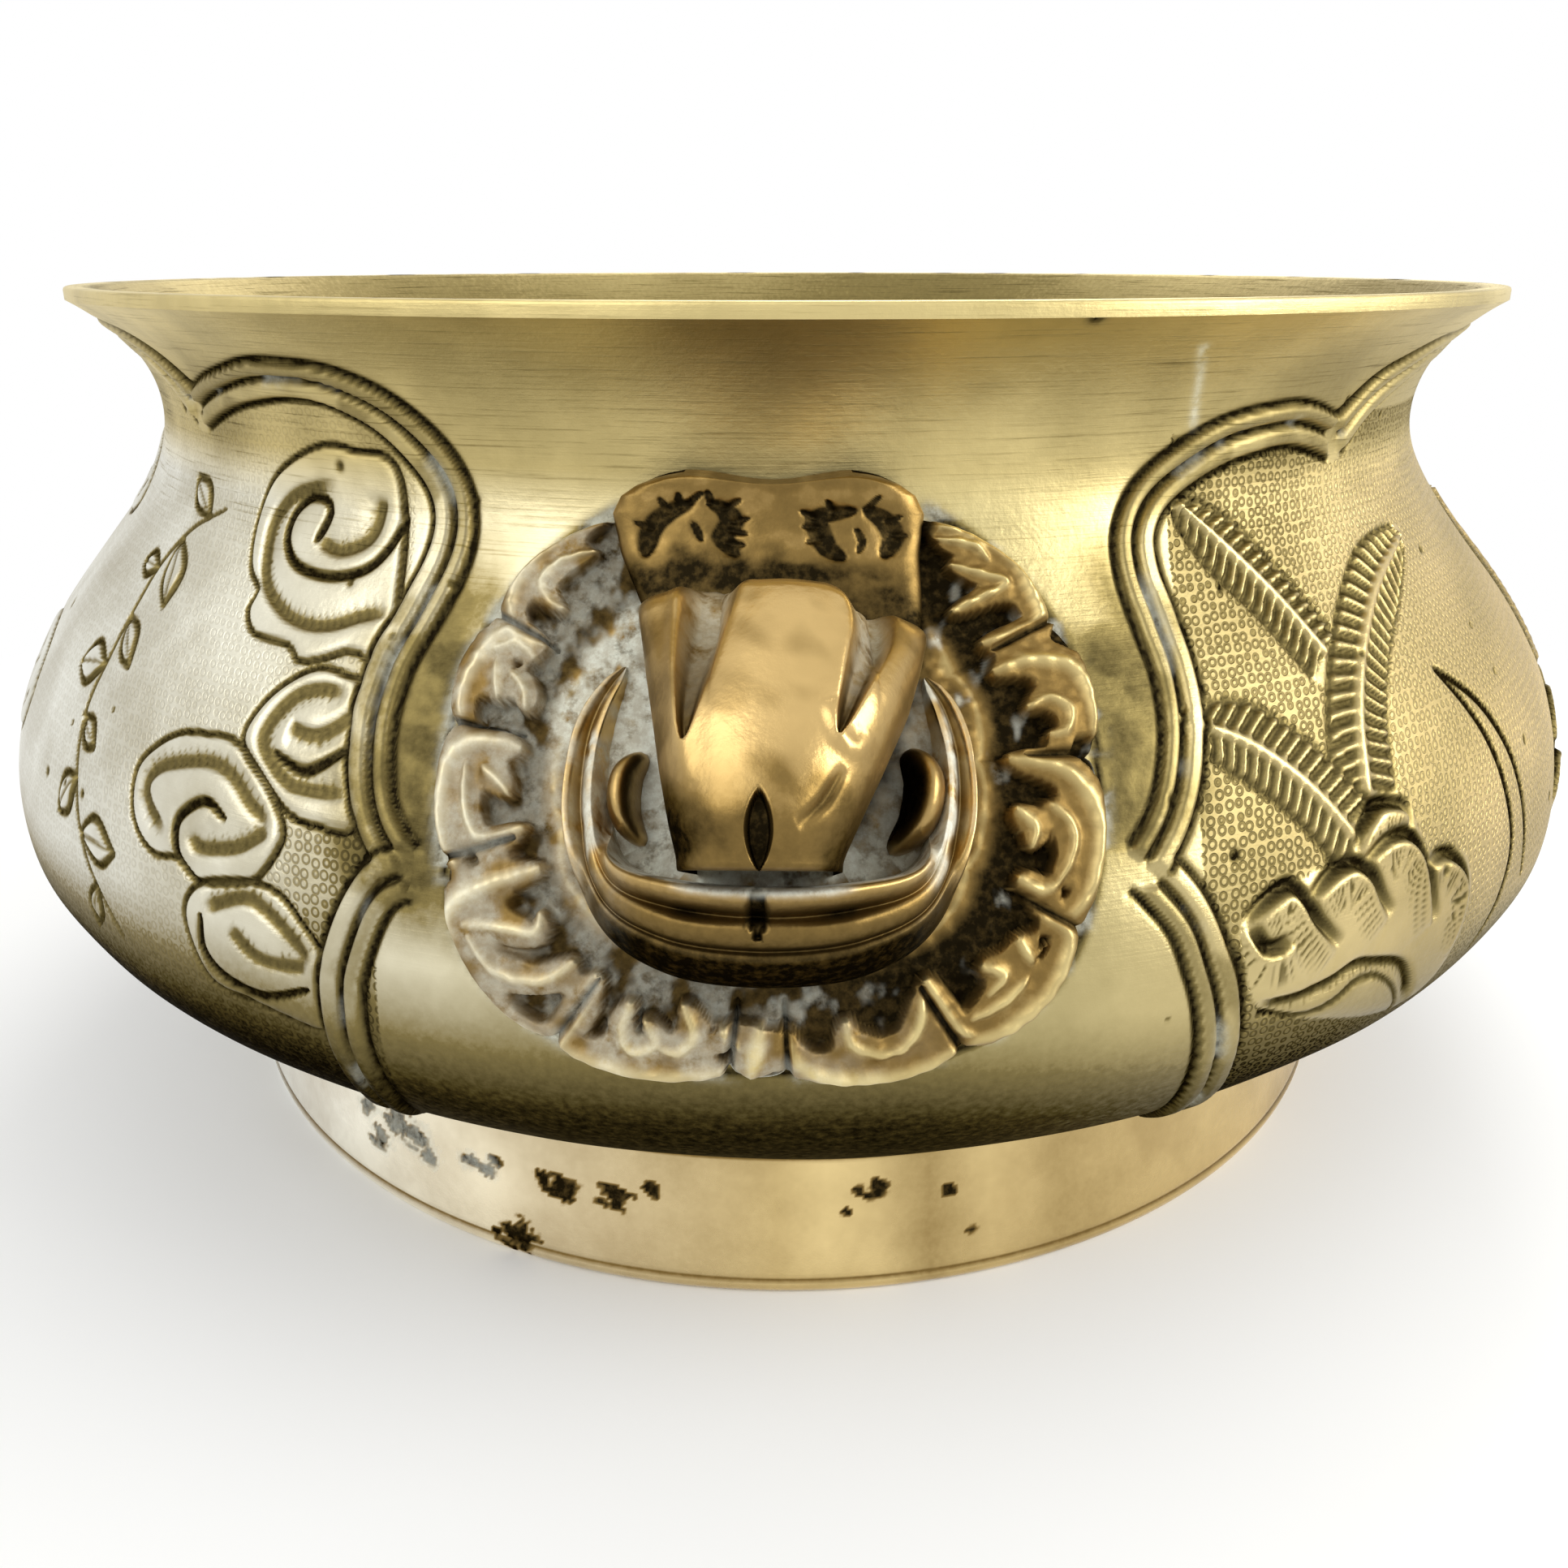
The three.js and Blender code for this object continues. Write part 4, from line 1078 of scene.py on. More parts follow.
def soil_and_shade_mane(work, mask, share, field, plateau, rough, crests):
    """Dark hollows and worn crests, a painted shadow right of the nose, and residue in the mouth, at the
    edge and over the left side.
    """
    across, up = work.x, work.y
    patches = waves(across, up, 15, 7)
    left = smooth_step(12, -14, across + 0.25 * (up - 30))
    hollow = (1 - plateau) * (1 - 0.12 * left)
    outer = smooth_step(0.6, 0.7, share)
    bright = smooth_step(0.75, 1, field) * smooth_step(-0.5, 0.4, patches + 0.3 * rough)
    work.darken(outer * np.maximum(0.54 - 0.14 * bright - 0.46 * crests, hollow))
    lip = smooth_step(0.99, 1.0, share) * smooth_step(-0.35, 0.35, patches + 1.1 * left - 0.45)
    crust = waves(across, up, 19, 5)
    chin = smooth_step(0.55, 0.62, share) * smooth_step(32, 26, up)
    spread = smooth_step(0.74, 0.64, share) * (1 - 0.6 * chin)
    mouth = work.inside(JAW_INNER) * (0.95 - 0.3 * smooth_step(-4, 10, across) * smooth_step(19, 24, up))
    basin = np.maximum(spread * smooth_step(0.0, 0.5, 0.8 * crust + 1.1 * left - 0.55), mouth)
    heights = (mask.crest_top + (mask.nose_tip - mask.crest_top) * np.array(HEAD_DOWN[::-1])) / MM
    middle = np.interp(up, heights, HEAD_LEAN[::-1])
    beside = np.abs(across - middle) - np.interp(up, heights, HEAD_HALF[::-1])
    # A painted shadow on the mane right of the nose, which also keeps residue away there.
    nose_shadow = smooth_step(2.2, 0.3, beside) * (up > heights[0] + 2) * smooth_step(-2, 2, across)
    work.darken(nose_shadow)
    basin = basin * (1 - 0.8 * nose_shadow)
    specks = smooth_step(0.0, 0.6, crust + 1.0 * left - 0.5) * hollow
    film = 0.42 * left * plateau * smooth_step(-0.8, 0.4, patches)
    work.green = np.maximum.reduce([0.95 * lip, basin, outer * np.maximum(0.5 * specks, film)])
    work.darken((0.62 + 0.2 * crust) * smooth_step(0.68, 0.6, share))


def build_mane(outline, mask, finish):
    """The lobed mane, bent to the wall: a rolled rim round each lobe, and curls in its hollow."""
    sheet, u, v = new_sheet("front_mane_curls", *MANE_GRID)
    turn = u * 2 * math.pi
    rise = np.clip(v / MANE_EDGE_ROWS, 0, 1)
    basin_row, basin_share = MANE_BASIN_START
    share = np.interp(v, [0, MANE_EDGE_ROWS, basin_row, 1], [1, 0.998, basin_share, 0.001])
    turns = np.radians(MANE_EDGES)
    angle = turns[0] + (turn - turns[0]) % (2 * math.pi)
    lobe = np.clip(np.searchsorted(turns, angle, side="right") - 1, 0, len(turns) - 2)
    place = (angle - turns[lobe]) / (turns[lobe + 1] - turns[lobe])
    swell = np.clip(np.sin(math.pi * place), 0, 1) ** 0.4
    radius = share * (mane_outline(turn, mask) - 1.5 * (1 - swell) * (lobe > 0))
    centre = mask.centre / MM
    across, up = radius * np.cos(turn), centre + radius * np.sin(turn)
    work = Chasing(across, up)
    rims, curls, crests = (np.zeros_like(across) for _ in range(3))
    for points in LOBE_RIMS:
        raise_ridge(work, rims, points, RIM_WIDTH)
        raise_ridge(work, crests, points, RIM_CREST)
    for points in LOBE_CURLS:
        raise_ridge(work, curls, points, CURL_WIDTH)
        raise_ridge(work, crests, points, CURL_CREST)
    field = 1 - (1 - rims) * (1 - 0.85 * curls)
    plateau = smooth_step(0.44, 0.56, field)
    rough = waves(across, up, 11, 2.4, 2)
    plate, rim = mask.plate / MM, mask.rim / MM
    work.height = (rim - plate + 0.7) * (0.72 * plateau + 0.28 * field) - 0.35 + 0.16 * rough + 0.5 * crests
    for heading in turns[1:]:
        along = np.array([0.74, 1.01]) * mane_outline(heading, mask)
        ends = np.stack([along * np.cos(heading), centre + along * np.sin(heading)], axis=-1)
        work.line(ends, width=0.38, depth=0.9, dark=1.0)
    soil_and_shade_mane(work, mask, share, field, plateau, rough, crests)
    edge_round = round_over(1 - np.clip((1 - share) / 0.035, 0, 1))
    out = 0.05 + rise * (plate * 0.8 + (plate * 0.2 + work.height) * edge_round)
    dress(sheet, outline.place(across, up, out), across, up, dark=work.dark, green=work.green)
    finish_pair(sheet, "mane", finish)


# Stations down from the crest to the tip of the nose: half width, lean to the right, side and ridge
HEAD_DOWN = [0, 0.008, 0.024, 0.055, 0.115, 0.24, 0.34, 0.4, 0.465, 0.54, 0.64, 0.74, 0.85, 0.94, 1]
HEAD_HALF = [8.2, 10.8, 12.8, 14.3, 15.2, 14.5, 13.8, 13.3, 12.9, 12.3, 11.4, 10.3, 8.7, 7.2, 6.2]
HEAD_LEAN = [-0.4, -0.4, -0.4, -0.4, -0.4, -0.2, 0.7, 1.2, 1.4, 1.4, 1.3, 1.1, 0.5, 0, -0.3]
NOSE_SIDE = [9, 9, 9, 9, 9, 9, 9.4, 10.2, 11, 11.8, 13, 14.2, 15.6, 16.6, 16]
NOSE_RIDGE = [13, 13, 13, 13, 13, 13.4, 14.6, 15.8, 17.2, 18.6, 20.3, 21.7, 22.8, 23.5, 21.8]
# The crest's half width and the nose's reach that these stations are drawn for
DRAWN_HALF_WIDTH, DRAWN_REACH = 15.3, 23.5
# Columns and rows, and the shares of them that are the cap, the face, the fold under it and its sides
HEAD_GRID = (196, 262)
CAP_ROWS, FACE_ROWS, FOLD_ROWS = 0.03, 0.86, 0.11
FACE_COLUMNS, SIDE_COLUMNS = 0.82, 0.18
# How far the crest stands out, and how far its top and the nose's tip are lifted
CREST_OUT = 4.5
CREST_LIFT = 0.9
NOSE_LIFT = 0.1
# The edge between crest and nose, the nose's grooves and its folds
NOSE_TOP = [
    (-15, 41), (-11.5, 42.6), (-8.2, 43.8), (-5, 44.2), (-2, 43), (1.2, 42.8), (4.5, 42.4), (6.8, 41),
    (9.8, 40.6), (15, 38.8),
]
NOSE_GROOVES = [
    {"path": [(-4.4, 44.5), (-4.9, 38.7), (-5.3, 33.2), (-5.7, 26)], "half": 2.8, "depth": 3.0},
    {"path": [(7.8, 42.2), (8.4, 36.4), (7.2, 31.8), (5.3, 26.2)], "half": 2.2, "depth": 2.6},
]
NOSE_FOLDS = [
    {
        "path": [(-7.2, 44), (-7.3, 38.5), (-6.9, 32.2), (-6.2, 27.5), (-5.2, 23)],
        "width": 0.9,
        "rise": 0.75,
    },
    {"path": [(11, 40), (11, 36), (9.4, 31), (7.4, 26.5)], "width": 1.2, "rise": 0.55},
    {"path": [(4.6, 28.5), (5.6, 26), (6.8, 25.4), (7.8, 26.6)], "width": 0.7, "rise": 0.6},
    {"path": [(2.4, 20.6), (4.2, 22), (5.6, 24.1)], "width": 0.42, "rise": -0.7},
]
# Slits in nose and chin: their middle, level and half width
NOSE_SLIT = (-0.15, 20.4, 1.05)
CHIN_SLIT = (-0.5, 15.8, 0.95)
SLIT_HALF_HEIGHT = 2.3
# Levels of the tangs, and their peened ends on the washers inside the wall
HEAD_TANG, JAW_TANG = 33, 13.4
PEEN_RADIUS, PEEN_HEIGHT, WASHER = 4.2, 2, 1.8
PEEN_GRID = (48, 12)
# Dark strokes of the two curls on the crest, and the spikes that stand out from them
CREST_STROKES = [
    [(-12, 49.6), (-11.4, 52.6), (-9.8, 54.7), (-7.8, 56)],
    [(-5.7, 56), (-4.4, 55.2), (-3.7, 53.4), (-4.6, 51.7), (-3.4, 49.6)],
    [(9, 55.2), (10.8, 53.6), (11.6, 51.5), (10.8, 49.5)],
    [(7.6, 55), (5.9, 54.7), (4.2, 54), (4.6, 52), (5.3, 50.2), (6.6, 49.2)],
]
CREST_SPIKES = [
    [(-9.8, 54.7), (-10.6, 56.6)], [(-8.8, 55.4), (-8.8, 57.4)], [(-7.8, 56), (-6.6, 57.6)],
    [(-11.4, 52.6), (-13, 53.4)], [(-5.7, 56), (-6, 57.8)], [(-4.4, 55.2), (-3, 56.6)],
    [(-3.8, 53.6), (-2.2, 54)], [(-4, 52.6), (-2.4, 52)], [(-4.2, 51), (-2.6, 50.6)],
    [(9, 55.2), (10.2, 57)], [(10.8, 53.6), (12.3, 54.2)], [(11.5, 52), (12.9, 51.8)],
    [(5.9, 54.7), (5.2, 56.4)], [(4.2, 54), (2.8, 55)], [(4.4, 53), (3, 53)], [(4.8, 51.6), (3.4, 51)],
    [(-7.4, 53.4), (-6.6, 51.2)], [(8, 52.6), (8.6, 51), (8.2, 49.8)],
]


def cut_nose(work, nose_out):
    """Works grooves, folds and a crease into the nose's height, and darkens its hollows."""
    whole = np.s_[:, :]
    for groove in NOSE_GROOVES:
        away, run = work.measure(curve_through(groove["path"]), whole)
        gap = groove["half"] * (1 - run) ** 0.6 + 0.02
        hollow = smooth_step(1.2, 0.35, np.abs(away) / gap) * (run < 0.999)
        nose_out -= groove["depth"] * hollow * (1 - 0.45 * run)
        work.encrust(0.5 * hollow * smooth_step(1.0, 0.3, run))
        work.darken(hollow * (0.3 + 0.55 * run))
        shoulder = bump(np.abs(away) - gap * 1.25, 0.7) * (1 - run) * (run > 0.001)
        nose_out += 0.4 * shoulder
    for crease in NOSE_FOLDS:
        away, run = work.measure(curve_through(crease["path"]), whole)
        mark = bump(away, crease["width"]) * dome(run)
        nose_out += crease["rise"] * mark
        if crease["rise"] < 0:
            work.darken(0.9 * mark)


def cut_crest(work):
    """Cuts the two curls of the crest and their spikes."""
    for points in CREST_STROKES:
        work.line(points, width=1.15, depth=0.45, dark=1.0)
    for points in CREST_SPIKES:
        work.line(points, width=0.42, depth=0.25, dark=1.0)


def almond_slit(across, up, middle, level, half):
    """An upright slit, widest in its middle and pointed above and below."""
    gap = half * np.clip(1 - ((up - level) / SLIT_HALF_HEIGHT) ** 2, 0, 1)
    return smooth_step(1.0, 0.6, np.abs(across - middle) / (gap + 1e-3)) * (gap > 0.02)


def build_head(outline, mask, finish):
    """Crest, brow and nose: a flat crest with two curls, and a bulb between two deep almond grooves."""
    sheet, u, v = new_sheet("front_upper_head_cast", *HEAD_GRID)
    top, tip = mask.crest_top / MM, mask.nose_tip / MM
    cap = np.clip(v / CAP_ROWS, 0, 1)
    down = np.clip((v - CAP_ROWS) / FACE_ROWS, 0, 1)
    fold = np.clip((v - (CAP_ROWS + FACE_ROWS)) / FOLD_ROWS, 0, 1)
    fine = np.linspace(0, 1, 400)
    kernel = np.hanning(27) / np.hanning(27).sum()

    def along(values):
        """Values at the stations, smoothed and read at every row."""
        line = np.pad(np.interp(fine, HEAD_DOWN, values), 13, mode="edge")
        return np.interp(down, fine, np.convolve(line, kernel, mode="valid"))

    arch = np.interp(down, HEAD_DOWN, HEAD_HALF)
    half = arch + (along(HEAD_HALF) - arch) * smooth_step(0.08, 0.2, down)
    half *= mask.crest_half_width / MM / DRAWN_HALF_WIDTH
    edge = 2 * u - 1
    share = np.clip(edge / FACE_COLUMNS, -1, 1)
    drop = np.clip((np.abs(edge) - FACE_COLUMNS) / SIDE_COLUMNS, 0, 1)
    across = along(HEAD_LEAN) + share * half
    saddle = 0.5 * np.cos(across * math.pi / 8) * smooth_step(0.2, 0, down)
    up = top + CREST_LIFT + (tip + NOSE_LIFT - top - CREST_LIFT) * down - saddle
    reach = mask.nose_reach / MM / DRAWN_REACH
    side, ridge = reach * along(NOSE_SIDE), reach * along(NOSE_RIDGE)
    whole = np.clip(1 - np.abs(share) ** 2.3, 0, 1) ** 0.62
    bulb = round_over((across - 2.2) / 6.2)
    merge = smooth_step(0.5, 0.8, down)
    nose_out = side + (ridge - side) * ((1 - merge) * (0.35 * whole + 0.75 * bulb) + merge * whole)
    work = Chasing(across, up)
    cut_nose(work, nose_out)
    nose_top = np.interp(across, *np.array(NOSE_TOP).T)
    nose = round_over(1 - np.clip((nose_top + 0.6 - up) / 4.2, 0, 1))
    crest = Chasing(across, up)
    cut_crest(crest)
    crest_out = CREST_OUT + 0.6 * (1 - share**2) + crest.height
    out = crest_out * (1 - nose) + nose_out * nose
    worn = smooth_step(-0.5, 0.6, waves(across, up, 33, 6))
    # The crest darkens just above the nose: a painted shadow.
    above = smooth_step(9.5, 4.5, up - nose_top + 1.2 * worn)
    crest_patina_and_shade = np.maximum(1.3 * crest.dark, 0.58 - 0.12 * worn + 0.42 * above)
    # Darker towards the nose's tip and to its sides: painted shade. The stains near the tip are its own.
    lower = smooth_step(0.78, 1, down)
    stains = smooth_step(-0.1, 0.8, waves(across, up, 71, 8) - 0.25 * share)
    flank_shade = smooth_step(0.5, 1, np.abs(share))
    tip_stains = stains * smooth_step(0.4, 0.55, down)
    nose_patina_and_shade = np.maximum(work.dark, 0.04 + 0.58 * lower + 0.26 * flank_shade + 0.24 * tip_stains)
    shown = smooth_step(0.3, 0.7, nose)
    dark = crest_patina_and_shade * (1 - shown) + nose_patina_and_shade * shown
    corner = 1 - round_over(np.clip((np.abs(share) - 0.84) / 0.16, 0, 1))
    out -= (1.2 + 0.8 * nose) * corner
    base = mask.plate / MM - 0.4
    out = out * (1 - drop) + base * drop
    out = base + (out - base) * round_over(1 - cap)
    under = fold * math.pi / 2
    up = up - 0.5 * np.sin(np.clip(fold / 0.35, 0, 1) * math.pi / 2) + 3.4 * smooth_step(0.3, 1, fold)
    out = out - (out - base) * (1 - np.cos(under)) * (0.25 + 0.75 * np.sin(under))
    slit = almond_slit(across, up, *NOSE_SLIT) * (down > 0.85)
    out -= 1.6 * slit * (1 - fold)
    # The sides and the fold under the nose are darkened as painted shade.
    edges = [1.2 * slit, smooth_step(0.05, 0.5, drop), 0.85 * smooth_step(0.12, 0.5, fold)]
    dark = np.maximum.reduce([dark, *edges])
    green = work.green * nose * (drop == 0)
    dress(sheet, outline.place(across, up, out), across, up, dark=dark, green=green)
    for piece in (sheet, peened_end("front_head_peen", outline, HEAD_TANG)):
        finish_pair(piece, "upper_head", finish)


# Jaw: its outer and inner edge on the mane, from the left cheek round to the right, and its height there
JAW_OUTER = [
    (-14.8, 38.5), (-18.2, 33.5), (-19.4, 28), (-18.8, 20.5), (-15, 13), (-8.6, 9.6), (0, 8.8),
    (8.6, 9.6), (15, 13), (18.9, 20.5), (19.6, 28), (18.4, 33.5), (15.6, 37.4),
]
JAW_INNER = [
    (-13.4, 37.6), (-14.6, 33), (-15.2, 28), (-14.6, 22.5), (-12.6, 18.8), (-7, 17.6), (0, 17.3),
    (6.6, 17.5), (12.8, 18.6), (15, 22.5), (15.6, 27.5), (15, 32.5), (14.2, 36.6),
]
JAW_RISE = [0.8, 1.8, 2.8, 4.6, 8.2, 12, 13.5, 12, 8.2, 4.6, 2.8, 1.8, 0.8]
# Its section: share of the width from the outer edge, and of the height
JAW_SECTION = [
    (0, 0), (0, 0.12), (0.05, 0.28), (0.16, 0.47), (0.28, 0.61), (0.36, 0.69), (0.41, 0.73),
    (0.45, 0.725), (0.485, 0.7), (0.53, 0.77), (0.6, 0.83), (0.67, 0.85), (0.72, 0.84), (0.765, 0.81),
    (0.82, 0.9), (0.88, 0.97), (0.94, 1), (0.98, 0.97), (1, 0.88), (1, 0.4), (1, 0),
]
# Columns to each stretch of its edges, its rows, and the reach that its heights are drawn for
JAW_STRETCH, JAW_ROWS = 22, 120
DRAWN_CHIN = 13.5
# Grooves and ridges along it, as shares of its width
JAW_GROOVES = [0.485, 0.765]
JAW_RIDGES = [0.4, 0.66, 0.94]
# Corner teeth: a line down each one, its half width and height, and how dark its hollow is
TEETH = {
    "front_left_tooth": {
        "path": [(-11.6, 29.2), (-13.3, 26.6), (-13.3, 23.2), (-11.5, 20.6)],
        "half": 1.5,
        "rise": 4.2,
        "dark": 0.45,
    },
    "front_right_tooth": {
        "path": [(12.8, 29.6), (14.4, 26.4), (13.8, 22.8), (11.2, 20)],
        "half": 1.9,
        "rise": 5.4,
        "dark": 1.0,
    },
}
# Columns to each stretch of a tooth's line, and its rows
TOOTH_STRETCH, TOOTH_ROWS = 12, 20


def corner_tooth(name, outline, tooth, mask):
    """A curved tooth in a corner of the mouth, dark on the side of its hollow."""
    columns = TOOTH_STRETCH * (len(tooth["path"]) - 1)
    sheet, u, v = new_sheet(name, columns, TOOTH_ROWS)
    path = curve_through(tooth["path"], stretch=TOOTH_STRETCH)
    beside = np.gradient(path, axis=0)[:, ::-1] * (1, -1)
    beside /= np.linalg.norm(beside, axis=1)[:, None]
    column = np.rint(u * columns).astype(int)
    taper = dome(u)
    offset = -tooth["half"] * taper * np.cos(v * math.pi)
    across = path[column, 0] + beside[column, 0] * offset
    up = path[column, 1] + beside[column, 1] * offset
    out = mask.plate / MM - 0.3 + tooth["rise"] * taper * np.sin(v * math.pi)
    inner = smooth_step(0.3, -0.5, (np.abs(across) - np.abs(path[column, 0])) / tooth["half"])
    dark = np.maximum(0.3, tooth["dark"] * inner)
    dress(sheet, outline.place(across, up, out), across, up, dark=dark)
    return sheet


def peened_end(name, outline, up):
    """The hammered end of a tang, a low dome inside the wall."""
    sheet, u, v = new_sheet(name, *PEEN_GRID)
    turn = u * 2 * math.pi
    reach = PEEN_RADIUS * np.sin(v * math.pi / 2) ** 0.8
    out = -(outline.mm["wall"] + WASHER) - PEEN_HEIGHT * np.cos(v * math.pi / 2)
    across, height = reach * np.cos(turn), up + reach * np.sin(turn)
    dress(sheet, outline.place(across, height, out), across, height)
    return sheet


def build_jaw(outline, mask, finish):
    """The U of the lower jaw: a full chin, ridges under a straight lip, a cleft and two corner teeth."""
    columns = JAW_STRETCH * (len(JAW_OUTER) - 1)
    sheet, u, v = new_sheet("front_lower_jaw_cast", columns, JAW_ROWS)
    column = np.rint(u * columns).astype(int)
    outer = curve_through(JAW_OUTER, stretch=JAW_STRETCH)[column]
    inner = curve_through(JAW_INNER, stretch=JAW_STRETCH)[column]
    stations = np.arange(len(JAW_RISE)) / (len(JAW_RISE) - 1)
    rise = np.interp(u, stations, JAW_RISE) * mask.chin_reach / MM / DRAWN_CHIN
    section = curve_through(JAW_SECTION, stretch=8)
    spots = np.linspace(0, 1, len(section))
    inward, height = np.interp(v, spots, section[:, 0]), np.interp(v, spots, section[:, 1])
    full = smooth_step(3, 11, rise)
    groove = bump(inward - 0.5, 0.13) * (1 - full)
    strap = smooth_step(0, 0.2, inward) * smooth_step(1, 0.8, inward) - 0.4 * groove
    height = strap + (height - strap) * smooth_step(0, 0.6, full)
    ends = np.sqrt(np.clip(np.minimum(u, 1 - u) / 0.03, 0, 1))
    middle = (outer + inner) / 2
    outer, inner = (middle + (edge - middle) * ends[..., None] for edge in (outer, inner))
    across = outer[..., 0] + (inner - outer)[..., 0] * inward
    up = outer[..., 1] + (inner - outer)[..., 1] * inward
    base = mask.plate / MM - 0.4
    out = base + height * rise * (0.35 + 0.65 * ends)
    grooves = np.maximum.reduce([bump(inward - spot, 0.03) for spot in JAW_GROOVES])
    lens = bump(inward - JAW_GROOVES[1], 0.055) * bump(np.abs(across) - 6, 3.6) * full
    out -= 0.8 * lens
    slit = almond_slit(across, up, *CHIN_SLIT) * (v < 0.9)
    out -= 1.3 * slit
    ridges = sum(bump(inward - spot, 0.075) for spot in JAW_RIDGES)
    lip = smooth_step(0.7, 0.86, inward)
    # Lighter on its ridges, most of all by the lip, and darker towards the chin's lower edge: painted
    # shade.
    below = 0.72 - (0.1 + 0.26 * lip) * ridges + 0.42 * smooth_step(0.6, 0.3, inward)
    arms = 0.22 - 0.2 * smooth_step(0.12, 0.3, np.abs(inward - 0.5)) + 0.3 * groove
    shades = [0.85 * grooves * full, lens, 1.2 * slit, arms + (below - arms) * full]
    # A dark foot where the jaw meets the mane, and its inner wall darkened as painted shade.
    shades += [0.9 * smooth_step(0.06, 0.0, inward), 0.45 * smooth_step(0.88, 0.96, v)]
    patches = waves(across, up, 27, 6)
    mouth_side = smooth_step(0.84, 0.9, v) * smooth_step(-0.9, -0.3, patches)
    lip_edge = bump(inward - 0.96, 0.035) * smooth_step(8, 5, np.abs(across))
    cheek = smooth_step(0.46, 0.62, inward) * smooth_step(0.8, 0.3, full) * smooth_step(-0.8, 0.2, patches)
    pale_arm = (1 - full) * (1 - groove) * (0.5 - 0.3 * smooth_step(-8, 8, across))
    residue = [0.85 * mouth_side, 0.9 * lip_edge, 0.9 * cheek, pale_arm * smooth_step(-0.8, 0.4, patches)]
    dark, green = np.maximum.reduce(shades), np.maximum.reduce(residue)
    dress(sheet, outline.place(across, up, out), across, up, dark=dark, green=green)
    pieces = [sheet, peened_end("front_jaw_peen", outline, JAW_TANG)]
    pieces += [corner_tooth(name, outline, tooth, mask) for name, tooth in TEETH.items()]
    for piece in pieces:
        finish_pair(piece, "lower_jaw", finish)


# Finishes


def cells(count, millimetres):
    """Scale of a pattern that has so many cells in a length."""
    return count / (millimetres * MM)


# Tarnish in patches of some 20 mm, crust of some 2.4 mm, and punched rings 1.25 mm apart
PATCHES = {"Scale": cells(12, 250), "Detail": 4, "Roughness": 0.62}
CRUST = {"Scale": cells(21, 50), "Detail": 4, "Roughness": 0.65}
RINGS = {"Scale": cells(8, 10), "Randomness": 0.3}
# Grain, chalk and brushed streaks of 0.4 to 1.1 mm, coarser than the real ones, so that they show
GRAIN = {"Scale": cells(11, 10), "Detail": 3, "Roughness": 0.6}
CHALK = {"Scale": cells(9, 10), "Detail": 5, "Roughness": 0.7}
BRUSHING = {"Scale": (cells(11, 200), cells(24, 10), 1)}
STREAKS = {"Scale": 1, "Detail": 5, "Roughness": 0.7}
# Where the brass turns paler to its left, a painted highlight, and warmer to its right, and where neck and
# brushing begin, in metres
PALE_LIT_SIDE = {"From Min": 0.0, "From Max": -0.08}
WARM_SIDE = {"From Min": 0.02, "From Max": 0.1, "To Max": 0.75}
NECK_START = {"From Min": 0.1, "From Max": 0.106}
BRUSHED_START = {"From Min": 0.092, "From Max": 0.099}
# What the patterns' values turn into: worn patches, shades of grain, edges of rings, streaks and cover
WORN_SPREAD = {"From Min": 0.56, "From Max": 0.36, "To Max": 0.34}
GRAIN_SHADES = {"From Min": 0.3, "From Max": 0.7, "To Min": 0.9, "To Max": 1.06}
RING_INNER_EDGE = {"From Min": 0.2, "From Max": 0.34}
RING_OUTER_EDGE = {"From Min": 0.5, "From Max": 0.4}
STREAK_SPREAD = {"From Min": 0.54, "From Max": 0.74, "To Max": 0.34}
CRUST_SPREAD = {"From Min": 0.3, "From Max": 0.5}
CHALK_SPREAD = {"From Min": 0.62, "From Max": 0.4, "To Max": 0.36}
# The shades over which tarnish covers the brass, and then patina the tarnish
TARNISH_SPREAD = {"From Max": 0.5}
PATINA_SPREAD = {"From Min": 0.45}
# Depth of the grain in millimetres, and how much the punched ground and its rings darken
GRAIN_DEPTH = 0.05
PUNCHED_SHADE, RING_SHADE = 0.2, 0.22
# How much rougher neck, punched ground, patina and crust are, and how much less metallic the crust is
NECK_ROUGH, PUNCHED_ROUGH, PATINA_ROUGH, CRUST_ROUGH = 0.16, 0.14, 0.25, 0.4
CRUST_METAL = -0.9


def add(tree, kind, inputs, **options):
    """Adds a node with its options, links or sets its inputs, and gives its outputs."""
    node = tree.nodes.new("ShaderNode" + kind)
    for key, value in options.items():
        setattr(node, key, value)
    for key, value in inputs.items():
        if isinstance(value, bpy.types.NodeSocket):
            tree.links.new(value, node.inputs[key])
        else:
            node.inputs[key].default_value = value
    return node.outputs


